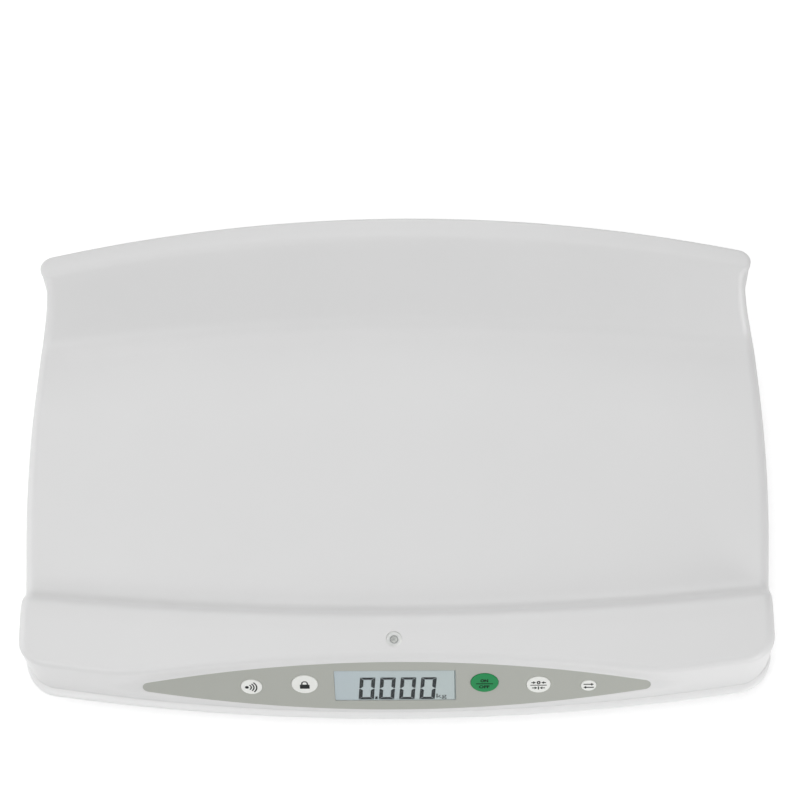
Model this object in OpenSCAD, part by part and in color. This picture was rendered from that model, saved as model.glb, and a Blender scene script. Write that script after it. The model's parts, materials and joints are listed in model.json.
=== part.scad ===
// Digital baby weighing scale.
// A moulded tray housing stands on a shallow base pan and four levelling feet.
// X runs along the width, Y from the control side to the rear wall, Z up.
// The origin is on the table, under the centre of the whole object.

/* [Housing] */
// Half of the width over the front ridge
ridge_half_w = 277; // [274:1:280]
// Widest half width of the tray, near the middle of its depth
tray_half_w = 280.8; // [278:0.2:282]
// Height of the front ridge
crest_z = 70; // [68:0.5:72]
// Height of the tray floor
floor_z = 50; // [48:0.5:52]
// Height of the rear rim at its centre
rim_z = 107; // [100:1:112]
// Drop of the rear rim from its centre to its ends
rim_arch = 6; // [2:0.5:9]
// Height of the parting line between the tray housing and the base pan
part_z = 15; // [14:0.5:15]
// Wall thickness of the tray housing
wall = 2.6; // [2.2:0.1:3]

/* [Hidden] */
FOOT_NAMES = ["front_left", "front_right", "rear_right", "rear_left"];
KEY_NAMES = ["key_signal", "key_hold", "key_power", "key_zero", "key_unit"];

// sagitta of an arc of radius r at the distance x from its middle
function sag(x, r) = x * x / (2 * r);
function mix(a, b, t) = a + (b - a) * t;
function clamp01(t) = min(1, max(0, t));
function ease(a, b, x) = let(t = clamp01((x - a) / (b - a))) t * t * (3 - 2 * t);
function soft_max(a, b, k) = (a + b + sqrt((a - b) * (a - b) + k * k)) / 2;
function unit(v) = v / norm(v);
// point at t on a curve that rounds the corner b between a and c
function rounded(a, b, c, t) = mix(mix(a, b, t), mix(b, c, t), t);

// plan lines of the housing, each as y at the distance x from the middle
front_y = -178.5;
function foot_line(x) = front_y + sag(x, 1690);
function crest_rear_line(x) = -118 + sag(x, 2600);
function floor_line(x) = -106.5 + sag(x, 2600);
function wall_line(x) = 117.7 - sag(x, 2005);
function rim_line(x) = 166 - sag(x, 1416);
function edge_line(x) = 183 - sag(x, 1295);
function rim_height(x) = rim_z - rim_arch * sag(x, 1) / sag(257, 1);

// sloped pad that carries the controls
pad_tilt = 61.3;
pad_y = -164.4;
pad_z = 41.1;
film_half_h = 26.35;
film_r = 792;
film_half_w = 187;
pad_margin = 1;
function pad_point(s) = [pad_y + s * cos(pad_tilt), pad_z + s * sin(pad_tilt)];

// half height of the pad at x: it follows the film and stays slim past its tips
function pad_half(x) = soft_max(film_half_h - sag(x, film_r), 4, 2) + pad_margin;
// front corner of the crest: cut back above the controls, close to the foot line at both ends
ridge_lean = 5;
function crest_front_line(x) =
    soft_max(-149.6 - sag(x, 1400), foot_line(x) + ridge_lean, 4);
function front_wall(x, z) = mix([foot_line(x), part_z], [foot_line(x) + ridge_lean, crest_z],
    (z - part_z) / (crest_z - part_z));
function on_pad(x) = 1 - ease(film_half_w, film_half_w + 30, abs(x));

// front section at x: crest corner, top and bottom of the pad, foot
function pad_top(x) = let(p = pad_point(pad_half(x))) mix(front_wall(x, p[1]), p, on_pad(x));
function pad_low(x) = let(p = pad_point(-pad_half(x))) mix(front_wall(x, p[1]), p, on_pad(x));
crest_round = 5.2;
function front_profile(x) =
    let(corner = [crest_front_line(x), crest_z],
        start = corner + [crest_round, 0],
        stop = corner + crest_round * unit(pad_top(x) - corner))
    [start, rounded(start, corner, stop, 1/3), rounded(start, corner, stop, 2/3), stop,
     pad_top(x), pad_low(x), [foot_line(x), part_z]];

// side outline: bowed along the tray, drawn in beside the rear wall, a little wider at the rim
function side_bow(y) = pow((y + 3) / 46, 2);
function side_half(y) = tray_half_w - side_bow(y) - 6 * ease(95, 135, y);
side_round = 8;
rim_side_half = 269;
rim_flare = 1;
rim_round = 4;

// rows of the top surface, from the front of the crest to the rear rim: [y, z] at x
foot_round = 12;
rim_corner_round = 5;
function rows_at(x) =
    let(e = front_profile(x)[0], cr = crest_rear_line(x), fl = floor_line(x),
        w = [wall_line(x), floor_z], r = [rim_line(x), rim_height(x)],
        up = unit(r - w), w0 = w - [foot_round, 0], w1 = w + foot_round * up,
        r0 = r - rim_corner_round * up, r1 = r + [rim_corner_round, 0],
        edge = [edge_line(x) - rim_round, r[1]],
        f0 = [fl + 6, floor_z])
    [e, mix(e, [cr - 5, crest_z], 0.3), mix(e, [cr - 5, crest_z], 0.65), [cr - 5, crest_z],
     [cr + 1, crest_z - 1.2], [(cr + fl) / 2, (crest_z + floor_z) / 2], [fl - 1, floor_z + 1.2],
     f0, mix(f0, w0, 0.25), mix(f0, w0, 0.5), mix(f0, w0, 0.75), w0,
     rounded(w0, w, w1, 1/3), rounded(w0, w, w1, 2/3), w1,
     mix(w1, r0, 0.5), r0, rounded(r0, r, r1, 0.5), r1, edge];
ROWS = len(rows_at(0));
// outer half width and edge radius of each row
function row_half(j) = let(y = rows_at(250)[j][0])
    j < 4 ? ridge_half_w
    : j < 7 ? mix(ridge_half_w, side_half(y), (j - 3) / 4)
    : j < 17 ? side_half(y)
    : rim_side_half + (j - 17) * rim_flare;
function row_round(j) = j < 16 ? side_round : j == 16 ? 6 : rim_round;

// columns, measured from the side edge of the top surface and then evenly across
END_STEPS = [0, 3, 7, 12, 20, 32];
MID_COLS = 20;
function column(i) = let(n = len(END_STEPS), last = 2 * n + MID_COLS - 1)
    i < n ? -1 + END_STEPS[i] / 272
    : i > last - n ? 1 - END_STEPS[last - i] / 272
    : let(a = 1 - END_STEPS[n - 1] / 272) mix(-a, a, (i - n + 1) / (MID_COLS + 1));
COLS = 2 * len(END_STEPS) + MID_COLS;

// plan corners of the top surface: a square corner region is drawn onto a quarter disc
front_corner = 13;
rear_corner = 6;
function corner_pull(a, b) = [a * sqrt(1 - b * b / 2), b * sqrt(1 - a * a / 2)];
function corner_at(x, y, half, y_front, y_rear) =
    let(f = y < (y_front + y_rear) / 2, r = f ? front_corner : rear_corner,
        a = (abs(x) - (half - r)) / r, b = f ? (y_front + r - y) / r : (y - (y_rear - r)) / r)
    (a > 0 && b > 0) ? [f, r, a, b] : undef;

half_at = [for (j = [0:ROWS - 1]) row_half(j) - row_round(j)];
function top_point(i, j) =
    let(x = column(i) * half_at[j], rows = rows_at(x), p = rows[j],
        c = corner_at(x, p[0], half_at[j], rows[0][0], rows[ROWS - 1][0]))
    is_undef(c) ? [x, p[0], p[1]]
    : let(q = corner_pull(c[2], c[3]) * c[1])
      [sign(x) * (half_at[j] - c[1] + q[0]),
       c[0] ? rows[0][0] + c[1] - q[1] : rows[ROWS - 1][0] - c[1] + q[1], p[1]];
top = [for (i = [0:COLS - 1]) [for (j = [0:ROWS - 1]) top_point(i, j)]];

// heading of the edge at a boundary point: 0 faces the front, 90 a side, 180 the rear
function heading(i, j) =
    let(x = column(i) * half_at[j], rows = rows_at(x),
        c = corner_at(x, rows[j][0], half_at[j], rows[0][0], rows[ROWS - 1][0]))
    is_undef(c) ? (j == 0 ? 0 : j == ROWS - 1 ? 180 : 90)
    : let(q = corner_pull(c[2], c[3]), t = atan2(q[0], q[1])) c[0] ? t : 180 - t;

// offsets and heights of the wall below a boundary point: the skirt widens towards its foot
BAND = 6;
skirt_flare = 1.5;
function side_profile(j, z) = let(r = row_round(j), low = z - r)
    [[0, z], [r / 2, z - r * (1 - cos(30))], [r * sin(60), z - r / 2], [r, low],
     [r + skirt_flare / 3, mix(low, part_z, 1/3)],
     [r + skirt_flare * 2/3, mix(low, part_z, 2/3)], [r + skirt_flare, part_z]];
function rear_profile(z) =
    [[0, z], [2.6, z - 0.9], [rim_round, z - 3.2], [3.2, z - 6.6],
     [-6, z - 8.6], [-9, z - 14], [-9, part_z]];
function end_x(x, j) = let(m = half_at[j] - front_corner) sign(x) * min(abs(x), m);
function front_offsets(x) = let(f = front_profile(x)) [for (p = f) [f[0][0] - p[0], p[1]]];
// plan of the skirt's foot behind the middle of the tray: the rear leans in towards the base
base_rear_y = 150;
base_corner = 24;
function base_rear_line(x) = base_rear_y - sag(x, 1500);
function base_row(y) = y < 100 ? y
    : 100 + (y - 100) * (base_rear_line(ridge_half_w) - 100) / (edge_line(ridge_half_w) - 100);
function base_half(y) = tray_half_w + skirt_flare - side_bow(y);
function base_point(i, j) =
    let(y = j == ROWS - 1 ? 0 : base_row(top[i][j][1]), half = base_half(j == ROWS - 1 ? 120 : y),
        x = column(i) * half, yy = j == ROWS - 1 ? base_rear_line(x) : y,
        rear = base_rear_line(x), a = (abs(x) - (half - base_corner)) / base_corner,
        b = (yy - (rear - base_corner)) / base_corner,
        q = (a > 0 && b > 0) ? corner_pull(a, b) * base_corner : undef)
    is_undef(q) ? [x, yy, part_z]
    : [sign(x) * (half - base_corner + q[0]), rear - base_corner + q[1], part_z];
function band_point(i, j, k) =
    let(p = top[i][j], h = heading(i, j), wf = h < 90 ? pow(cos(h), 2) : 0,
        hook = (j >= 17 && h == 90) ? 0.35 : 0, wr = h > 90 ? max(pow(cos(h), 2), 0.35) : hook,
        ws = 1 - wf - wr,
        prof = wf * front_offsets(end_x(p[0], j)) + ws * side_profile(j, p[2])
             + wr * rear_profile(p[2]),
        sx = p[0] < 0 ? -1 : 1, out = [sx * sin(h), -cos(h)],
        own = [for (o = prof) [p[0] + out[0] * o[0], p[1] + out[1] * o[0], o[1]]],
        rear = h > 90 || (h == 90 && p[1] > 0), foot = base_point(i, j))
    (!rear || k < 4) ? own[k]
    : k == 6 ? foot
    : mix(mix(own[3], foot, (k - 3) / 3), own[k], wr);

// boundary of the top surface, counter-clockwise seen from above
rim_cells = concat([for (i = [0:COLS - 2]) [i, 0]], [for (j = [0:ROWS - 2]) [COLS - 1, j]],
    [for (i = [COLS - 1:-1:1]) [i, ROWS - 1]], [for (j = [ROWS - 1:-1:1]) [0, j]]);
RIM = len(rim_cells);
band = [for (c = rim_cells) [for (k = [0:BAND]) band_point(c[0], c[1], k)]];

// outward normals, from the neighbours on the grid and on the band
function grid_at(i, j) = top[min(max(i, 0), COLS - 1)][min(max(j, 0), ROWS - 1)];
function cell_normal(i, j) = unit(cross(grid_at(i + 1, j) - grid_at(i - 1, j),
                                        grid_at(i, j + 1) - grid_at(i, j - 1)));
function band_at(m, k) = band[(m + RIM) % RIM][k];
function band_normal(m, k) = unit(cross(band_at(m + 1, k) - band_at(m - 1, k),
    band_at(m, max(k - 1, 0)) - band_at(m, min(k + 1, BAND))));
top_in = [for (i = [0:COLS - 1]) [for (j = [0:ROWS - 1])
    (i == 0 || j == 0 || i == COLS - 1 || j == ROWS - 1) ? [0, 0, 0]
    : top[i][j] - wall * cell_normal(i, j)]];
band_in = [for (m = [0:RIM - 1]) [for (k = [0:BAND])
    let(p = band[m][k] - wall * band_normal(m, k)) k == BAND ? [p[0], p[1], part_z] : p]];

// one closed skin over the top surface and its band
function skin_points(t, b) = concat([for (col = t) each col], [for (m = b) each m]);
function rim_index(m, k) = let(c = rim_cells[(m + RIM) % RIM])
    k == 0 ? c[0] * ROWS + c[1] : COLS * ROWS + ((m + RIM) % RIM) * (BAND + 1) + k;
skin_faces = concat(
    [for (i = [0:COLS - 2], j = [0:ROWS - 2]) let(a = i * ROWS + j, b = a + ROWS)
        each [[a, a + 1, b + 1], [a, b + 1, b]]],
    [for (m = [0:RIM - 1], k = [0:BAND - 1])
        let(a = rim_index(m, k), b = rim_index(m + 1, k), c = rim_index(m + 1, k + 1),
            d = rim_index(m, k + 1)) each [[a, b, c], [a, c, d]]]);
skin_size = COLS * ROWS + RIM * (BAND + 1);
function with_rim(t, b) =
    let(flat = skin_points(t, b))
    [for (n = [0:skin_size - 1]) n < COLS * ROWS
        ? let(i = floor(n / ROWS), j = n % ROWS,
              edge = (i == 0 || j == 0 || i == COLS - 1 || j == ROWS - 1))
          edge ? b[rim_of(i, j)][0] : flat[n]
        : flat[n]];
function rim_of(i, j) = j == 0 && i < COLS - 1 ? i
    : i == COLS - 1 && j < ROWS - 1 ? COLS - 1 + j
    : j == ROWS - 1 && i > 0 ? COLS - 1 + ROWS - 1 + (COLS - 1 - i)
    : 2 * (COLS - 1) + ROWS - 1 + (ROWS - 1 - j);
module tray_skin() {
    outer = with_rim(top, band);
    inner = with_rim(top_in, band_in);
    rim = [for (m = [0:RIM - 1])
        let(a = rim_index(m, BAND), b = rim_index(m + 1, BAND))
        each [[a, b, b + skin_size], [a, b + skin_size, a + skin_size]]];
    flip = [for (f = skin_faces) [f[2] + skin_size, f[1] + skin_size, f[0] + skin_size]];
    polyhedron(concat(outer, inner), concat(skin_faces, flip, rim), convexity = 6);
}

// frame of the control pad: X along the width, Y up the slope, Z out of its face
module pad_frame() { translate([0, pad_y, pad_z]) rotate([pad_tilt, 0, 0]) children(); }
// the same change of frame for one point
function from_pad(p) = [p[0], pad_y + p[1] * cos(pad_tilt) - p[2] * sin(pad_tilt),
    pad_z + p[1] * sin(pad_tilt) + p[2] * cos(pad_tilt)];

// outline of the grey film: two arcs that meet in small round tips
film_tip_r = 5;
FILM_STEPS = 24;
TIP_STEPS = 8;
function film_outline(grow) =
    let(h = film_half_h + grow, r = film_r + grow, tip = film_tip_r + grow,
        rise = r - h, xc = sqrt(pow(r - tip, 2) - rise * rise),
        a = asin(xc / (r - tip)))
    concat([for (n = [0:FILM_STEPS]) let(t = mix(-a, a, n / FILM_STEPS))
                [r * sin(t), -(r * cos(t) - rise)]],
           [for (n = [1:TIP_STEPS - 1]) let(t = mix(-(90 - a), 90 - a, n / TIP_STEPS))
                [xc + tip * cos(t), tip * sin(t)]],
           [for (n = [0:FILM_STEPS]) let(t = mix(a, -a, n / FILM_STEPS))
                [r * sin(t), r * cos(t) - rise]],
           [for (n = [1:TIP_STEPS - 1]) let(t = mix(90 + a, 270 - a, n / TIP_STEPS))
                [-xc + tip * cos(t), tip * sin(t)]]);
module film_shape(grow = 0) { polygon(film_outline(grow)); }

// keys: [x, y on the pad, radius]
KEYS = [[-106.6, 0.3, 7.9], [-67.3, 2.8, 9.75], [65.1, 3.4, 10.2], [104.8, 1.1, 8.8],
        [141.6, -0.3, 5.7]];
film_t = 0.5;
film_gap = 0.15;
window = [89.6, 33.4];
window_at = [-0.7, 0.3];
window_t = 1.3;
window_corner = 1.2;
window_ledge = 0.8;
key_gap = 0.25;
// a cutter or a hole reaches this far past the face that it breaks through
past = 1;
module rounded_plate(size, r, h) {
    linear_extrude(h) union() {
        square([size[0] - 2 * r, size[1]], center = true);
        square([size[0], size[1] - 2 * r], center = true);
        for (x = [-1, 1], y = [-1, 1])
            translate([x * (size[0] / 2 - r), y * (size[1] / 2 - r)]) circle(r = r, $fn = 32);
    }
}
module window_plate(size, low, h) {
    translate([window_at[0], window_at[1], low]) rounded_plate(size, window_corner, h);
}
module at_points(points, z = 0) { for (p = points) translate([p[0], p[1], z]) children(); }

// places of the vial, the screws and the feet
vial_at = [-0.75, -135.8];
vial_r = 5.85;
case_screws = [for (sx = [-1, 1]) each [[sx * 250, -52], [sx * 250, 36], [sx * 122, -88],
                                        [sx * 122, 96]]];
FEET = [[-225, -118], [225, -118], [225, 92], [-225, 92]];
cell_screw_x = 17;
cell_screws = [for (f = FEET, sx = [-1, 1]) [f[0] + sx * cell_screw_x, f[1]]];
board_posts = [[-119, -9], [-119, 9], [-53, -14.5], [51.6, -14.5], [124, 11], [152, -6]];

// bosses and ribs inside the housing
boss_r = 5;
boss_low = 24.2;
case_pilot = [1.55, 14];
cell_pilot = [1.55, 12];
post_r = 3;
post_root = -1.6;
board_pilot = [1.05, 4.5];
board_d = -7.4;
board_t = 1.6;
carrier_top = 31.8;
rib_rows = [-62, 0, 62];
rib_half = 238;
rib_t = 2;
rib_low = 38;
function under(y) = (y < -105 ? crest_z : floor_z) - wall;
module boss(p, low) {
    translate([p[0], p[1], low]) cylinder(r = boss_r, h = under(p[1]) + 1 - low, $fn = 32);
}
module pilot(size) { translate([0, 0, -past]) cylinder(r = size[0], h = size[1] + past, $fn = 24); }

// the film's recess, the window's ledge and the holes for the keys
pad_depth = 10;
module pad_openings() {
    translate([0, 0, -film_t]) linear_extrude(pad_depth) film_shape(film_gap);
    window_plate(window, -film_t - window_t, pad_depth);
    window_plate(window - 2 * [window_ledge, window_ledge], -pad_depth / 2, pad_depth);
    for (k = KEYS) translate([k[0], k[1], -pad_depth / 2])
        cylinder(r = k[2] + key_gap, h = pad_depth, $fn = 64);
}
module tray_shell() {
    color("whitesmoke") difference() {
        union() {
            tray_skin();
            for (p = case_screws) boss(p, boss_low);
            for (p = cell_screws) boss(p, carrier_top);
            for (y = rib_rows) translate([-rib_half, y - rib_t / 2, rib_low])
                cube([2 * rib_half, rib_t, floor_z - wall + 1 - rib_low]);
            pad_frame() at_points(board_posts, board_d)
                cylinder(r = post_r, h = post_root - board_d, $fn = 24);
        }
        pad_frame() {
            pad_openings();
            at_points(board_posts, board_d) pilot(board_pilot);
        }
        translate([vial_at[0], vial_at[1], crest_z - pad_depth])
            cylinder(r = vial_r, h = 2 * pad_depth, $fn = 48);
        at_points(case_screws, boss_low) pilot(case_pilot);
        at_points(cell_screws, carrier_top) pilot(cell_pilot);
    }
}

// base pan: its loops follow the foot of the housing skirt
pan_z = 8;
pan_t = 2.4;
pan_top = pan_z + pan_t;
foot_loop = [for (m = [0:RIM - 1]) [band[m][BAND][0], band[m][BAND][1]]];
function loop_normal(m) = let(d = unit(foot_loop[(m + 1) % RIM] - foot_loop[(m + RIM - 1) % RIM]))
    [d[1], -d[0]];
function front_share(m) = let(c = rim_cells[m], h = heading(c[0], c[1]))
    h < 90 ? pow(cos(h), 2) : 0;
// width of the bead round the pan at the sides, at the front and at the front's ends
bead_side = 2;
bead_front = 4.5;
bead_front_ends = 5.7;
function bead(m) = mix(bead_side,
    mix(bead_front, bead_front_ends, pow(foot_loop[m][0] / 255, 2)), front_share(m));
tongue_top = part_z + 3;
tongue_in = wall + 0.3;
tongue_t = 1.6;
tongue_front = 2.2;
seam = 0.2;
// each loop: share of the bead width, fixed offset, extra inset at the front, height
PAN_LOOPS = [[0, -7, 0, pan_z], [0, -0.8, 0, pan_z], [0.7, 0, 0, pan_z + 1],
    [1, 0, 0, pan_z + 3.4], [0.82, 0, 0, pan_z + 5.6], [0.45, 0, 0, part_z - seam],
    [0, -tongue_in, -tongue_front, part_z - seam], [0, -tongue_in, -tongue_front, tongue_top],
    [0, -tongue_in - tongue_t, -tongue_front, tongue_top],
    [0, -tongue_in - tongue_t, -tongue_front, pan_top]];
pan_rows = len(PAN_LOOPS);
pan_points = [for (l = PAN_LOOPS, m = [0:RIM - 1])
    let(o = l[0] * bead(m) + l[1] + l[2] * front_share(m), q = foot_loop[m] + o * loop_normal(m))
    [q[0], q[1], l[3]]];
pan_faces = concat(
    [for (k = [0:pan_rows - 2], m = [0:RIM - 1]) let(a = k * RIM + m, b = k * RIM + (m + 1) % RIM)
        each [[a, b + RIM, b], [a, a + RIM, b + RIM]]],
    [[for (m = [0:RIM - 1]) m]], [[for (m = [RIM - 1:-1:0]) (pan_rows - 1) * RIM + m]]);

// battery bay, open to the underside
bay_y = 20;
bay = [63, 59.8];
bay_wall = 1.6;
bay_top = 25.6;
hinge_z = 9.1;
hinge_y = bay_y - bay[1] / 2 + 1.2;
pin_r = 0.8;
pin_gap = 0.05;
pin_end = 2.4;
module bay_block(grow, low, high) {
    translate([-bay[0] / 2 - grow, bay_y - bay[1] / 2 - grow, low])
        cube([bay[0] + 2 * grow, bay[1] + 2 * grow, high - low]);
}
// a round bar of half length half along the door's hinge
module hinge_bar(r, half) {
    translate([-half, hinge_y, hinge_z]) rotate([0, 90, 0]) cylinder(r = r, h = 2 * half, $fn = 24);
}

// screw posts, foot rings and stiffening ribs of the pan
post = [6, boss_low - 0.2];
head_well = [3.8, 21];
shank_hole_r = 1.8;
foot_ring = [12, pan_z + 7];
foot_hole_r = 9.5;
pan_rib_y = [-100, 112];
pan_rib_x = [-160, -80, 80, 160];
pan_rib_half = 190;
pan_rib_t = 1.8;
pan_rib_top = pan_z + 7;
module pan_ribs() {
    low = pan_z + 1;
    for (y = pan_rib_y) translate([-pan_rib_half, y - pan_rib_t / 2, low])
        cube([2 * pan_rib_half, pan_rib_t, pan_rib_top - low]);
    for (x = pan_rib_x) translate([x - pan_rib_t / 2, pan_rib_y[0], low])
        cube([pan_rib_t, pan_rib_y[1] - pan_rib_y[0], pan_rib_top - low]);
}
module base_pan() {
    low = pan_z + 1;
    color("white") difference() {
        union() {
            polyhedron(pan_points, pan_faces, convexity = 4);
            at_points(case_screws, low) cylinder(r = post[0], h = post[1] - low, $fn = 32);
            at_points(FEET, low) cylinder(r = foot_ring[0], h = foot_ring[1] - low, $fn = 48);
            pan_ribs();
        }
        bay_block(0, 0, head_well[1]);
        at_points(case_screws) {
            cylinder(r = head_well[0], h = head_well[1], $fn = 32);
            cylinder(r = shank_hole_r, h = post[1] + past, $fn = 24);
        }
        at_points(FEET) cylinder(r = foot_hole_r, h = post[1], $fn = 48);
        hinge_bar(pin_r + pin_gap, bay[0] / 2 + pin_end + 0.6);
    }
}
module battery_box() {
    color("gainsboro") difference() {
        bay_block(bay_wall, pan_top, bay_top + bay_wall);
        bay_block(0, pan_z, bay_top);
    }
}

// four AA cells, each between a spring and a plate
cell_r = 7.1;
cell_pitch = 15.4;
cell_z = 18.2;
cell_len = 49.5;
cell_nub = [2.75, 1];
bay_end = bay[1] / 2;
plate = [11, 0.4, 12];
cell_tip = bay_end - plate[1];
// in a cell's frame +Y is its positive end
module each_cell() {
    for (n = [0:3]) translate([(n - 1.5) * cell_pitch, bay_y, cell_z])
        rotate([0, 0, n % 2 == 0 ? 0 : 180]) children();
}
module along_y(y) { translate([0, y, 0]) rotate([-90, 0, 0]) children(); }
module battery_cells() {
    color("darkseagreen") each_cell() {
        along_y(cell_tip - cell_nub[1] - cell_len) cylinder(r = cell_r, h = cell_len, $fn = 48);
        along_y(cell_tip - cell_nub[1]) cylinder(r = cell_nub[0], h = cell_nub[1], $fn = 24);
    }
}
module contact_plates() {
    color("silver") each_cell() for (y = [cell_tip, -bay_end])
        translate([-plate[0] / 2, y, -plate[2] / 2]) cube(plate);
}

// a tube of radius r along the points, its end faces square to the first and last headings
function tube_turn(d, r, a) = let(side = unit(cross([0, 0, 1], d)), up = cross(d, side))
    r * (cos(a) * side + sin(a) * up);
module tube(points, heads, r, sides) {
    n = len(points) - 1;
    rings = [for (k = [0:n]) let(d = k == 0 ? heads[0] : k == n ? heads[1]
                                  : unit(points[k + 1] - points[k - 1]))
        for (a = [0:sides - 1]) points[k] + tube_turn(d, r, 360 * a / sides)];
    walls = [for (k = [0:n - 1], a = [0:sides - 1])
        let(b = (a + 1) % sides, p = k * sides)
        each [[p + a, p + sides + a, p + sides + b], [p + a, p + sides + b, p + b]]];
    ends = [[for (a = [0:sides - 1]) a], [for (a = [sides - 1:-1:0]) n * sides + a]];
    polyhedron(rings, concat(walls, ends), convexity = 6);
}

// conical spring between the plate and the flat end of a cell
spring_wire = 0.4;
spring_r = [4.6, 3];
spring_turns = 3;
spring_len = 2 * bay_end - 2 * plate[1] - cell_nub[1] - cell_len;
SPRING_STEPS = 10;
SPRING_SIDES = 6;
module contact_springs() {
    n = spring_turns * SPRING_STEPS;
    pts = [for (k = [0:n], a = [0:SPRING_SIDES - 1])
        let(t = k / n, th = 360 * spring_turns * t, turn = 360 * a / SPRING_SIDES,
            r = mix(spring_r[0], spring_r[1], t) + spring_wire * cos(turn),
            y = mix(spring_wire, spring_len - spring_wire, t) + spring_wire * sin(turn))
        [r * cos(th), y, r * sin(th)]];
    walls = [for (k = [0:n - 1], a = [0:SPRING_SIDES - 1])
        let(b = (a + 1) % SPRING_SIDES, p = k * SPRING_SIDES, q = p + SPRING_SIDES)
        each [[p + a, q + a, q + b], [p + a, q + b, p + b]]];
    ends = [[for (a = [0:SPRING_SIDES - 1]) a],
            [for (a = [SPRING_SIDES - 1:-1:0]) n * SPRING_SIDES + a]];
    color("silver") each_cell() translate([0, plate[1] - bay_end, 0])
        polyhedron(pts, concat(walls, ends), convexity = 4);
}

// the door hangs on its own pin ends; two slots free the latch tongue at its far edge
door_gap = 0.4;
door_low = 8.2;
door_t = 1.8;
latch_half = 9;
latch_len = 11;
slot_w = 1;
grip = [12, 1.1, 0.8];
grip_pitch = 2.4;
module battery_door() {
    half = bay[0] / 2 - door_gap;
    far = bay_y + bay[1] / 2 - door_gap;
    color("white") difference() {
        union() {
            translate([-half, hinge_y, door_low]) cube([2 * half, far - hinge_y, door_t]);
            hinge_bar(door_t / 2, half);
            hinge_bar(pin_r, half + pin_end);
        }
        for (sx = [-1, 1]) translate([sx * latch_half - slot_w / 2, far - latch_len, 0])
            cube([slot_w, 2 * latch_len, 2 * hinge_z]);
        for (n = [0:2]) translate([-grip[0] / 2, far - 3 - grip_pitch * n, door_low - past])
            cube([grip[0], grip[1], grip[2] + past]);
    }
}

// cross-headed screws: head in the pan's well, shank up into the housing's boss
case_head = [3.2, 2.2];
case_shank = [1.5, 16];
case_drive = [3.6, 0.7, 1];
module case_screws() {
    low = head_well[1] - case_head[1];
    color("silver") at_points(case_screws) {
        difference() {
            translate([0, 0, low]) cylinder(r = case_head[0], h = case_head[1], $fn = 24);
            for (a = [0, 90]) rotate([0, 0, a])
                translate([-case_drive[0] / 2, -case_drive[1] / 2, low - past])
                    cube([case_drive[0], case_drive[1], case_drive[2] + past]);
        }
        translate([0, 0, head_well[1]]) cylinder(r = case_shank[0], h = case_shank[1], $fn = 24);
    }
}
cell_low = 24;
cell_t = 1.8;
cell_head = [2.8, 1.8];
cell_shank = [1.5, 18];
module cell_screws() {
    color("silver") {
        at_points(cell_screws, cell_low - cell_head[1])
            cylinder(r = cell_head[0], h = cell_head[1], $fn = 24);
        at_points(cell_screws, cell_low) cylinder(r = cell_shank[0], h = cell_shank[1], $fn = 24);
    }
}

// load cell: a steel plate whose middle tongue bends under the foot
cell = [42, 36];
cell_slot = [2, 26];
cell_slot_x = 10.5;
cell_hole_r = 4.3;
fixing_r = 1.7;
clear_z = 40;
module cell_fixings() {
    for (sx = [-1, 1]) translate([sx * cell_screw_x, 0, 0])
        cylinder(r = fixing_r, h = clear_z, $fn = 24);
}
module load_cell() {
    color("silver") difference() {
        translate([-cell[0] / 2, -cell[1] / 2, cell_low]) cube([cell[0], cell[1], cell_t]);
        for (sx = [-1, 1]) translate([sx * cell_slot_x - cell_slot[0] / 2, -cell_slot[1] / 2, 0])
            cube([cell_slot[0], cell_slot[1], clear_z]);
        translate([-cell_slot_x - cell_slot[0] / 2, cell_slot[1] / 2 - cell_slot[0], 0])
            cube([2 * cell_slot_x + cell_slot[0], cell_slot[0], clear_z]);
        cylinder(r = cell_hole_r, h = clear_z, $fn = 32);
        cell_fixings();
    }
}
carrier = [44, 38];
carrier_window = [25, 30];
module cell_carrier() {
    low = cell_low + cell_t;
    color("dimgray") difference() {
        translate([-carrier[0] / 2, -carrier[1] / 2, low])
            cube([carrier[0], carrier[1], carrier_top - low]);
        translate([-carrier_window[0] / 2, -carrier_window[1] / 2, 0])
            cube([carrier_window[0], carrier_window[1], clear_z]);
        cell_fixings();
    }
}

// levelling feet: a screw with a grooved knob turns in the nut and stands on a rubber sole
stud_r = 4;
stud_gap = 0.05;
stud_top = 33;
nut = [7.5, 6.5];
sole_t = 3.5;
knob = [14.5, 4];
pivot = [4.95, 1.6];
KNOB_GROOVES = 18;
groove = [1.1, 0.4];
module cell_nut() {
    color("silver") difference() {
        translate([0, 0, cell_low - nut[1]]) cylinder(r = nut[0], h = nut[1], $fn = 6);
        cylinder(r = stud_r + stud_gap, h = clear_z, $fn = 48);
    }
}
module foot_screw() {
    knob_low = sole_t + stud_gap;
    color("gray") difference() {
        union() {
            translate([0, 0, knob_low]) cylinder(r = knob[0], h = knob[1], $fn = 72);
            translate([0, 0, pivot[1]]) cylinder(r = pivot[0], h = knob_low + 1 - pivot[1], $fn = 48);
            translate([0, 0, knob_low]) cylinder(r = stud_r, h = stud_top - knob_low, $fn = 48);
        }
        for (n = [0:KNOB_GROOVES - 1]) rotate([0, 0, n * 360 / KNOB_GROOVES])
            translate([knob[0] + groove[1], 0, 0]) cylinder(r = groove[0], h = 10, $fn = 16);
    }
}
sole_r = [12, 13, 13.4];
socket = [5, 1.5];
module foot_sole() {
    color("dimgray") rotate_extrude($fn = 72) polygon([[0, 0], [sole_r[0], 0], [sole_r[1], 1],
        [sole_r[2], sole_t], [socket[0], sole_t], socket, [0, socket[1]]]);
}

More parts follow.
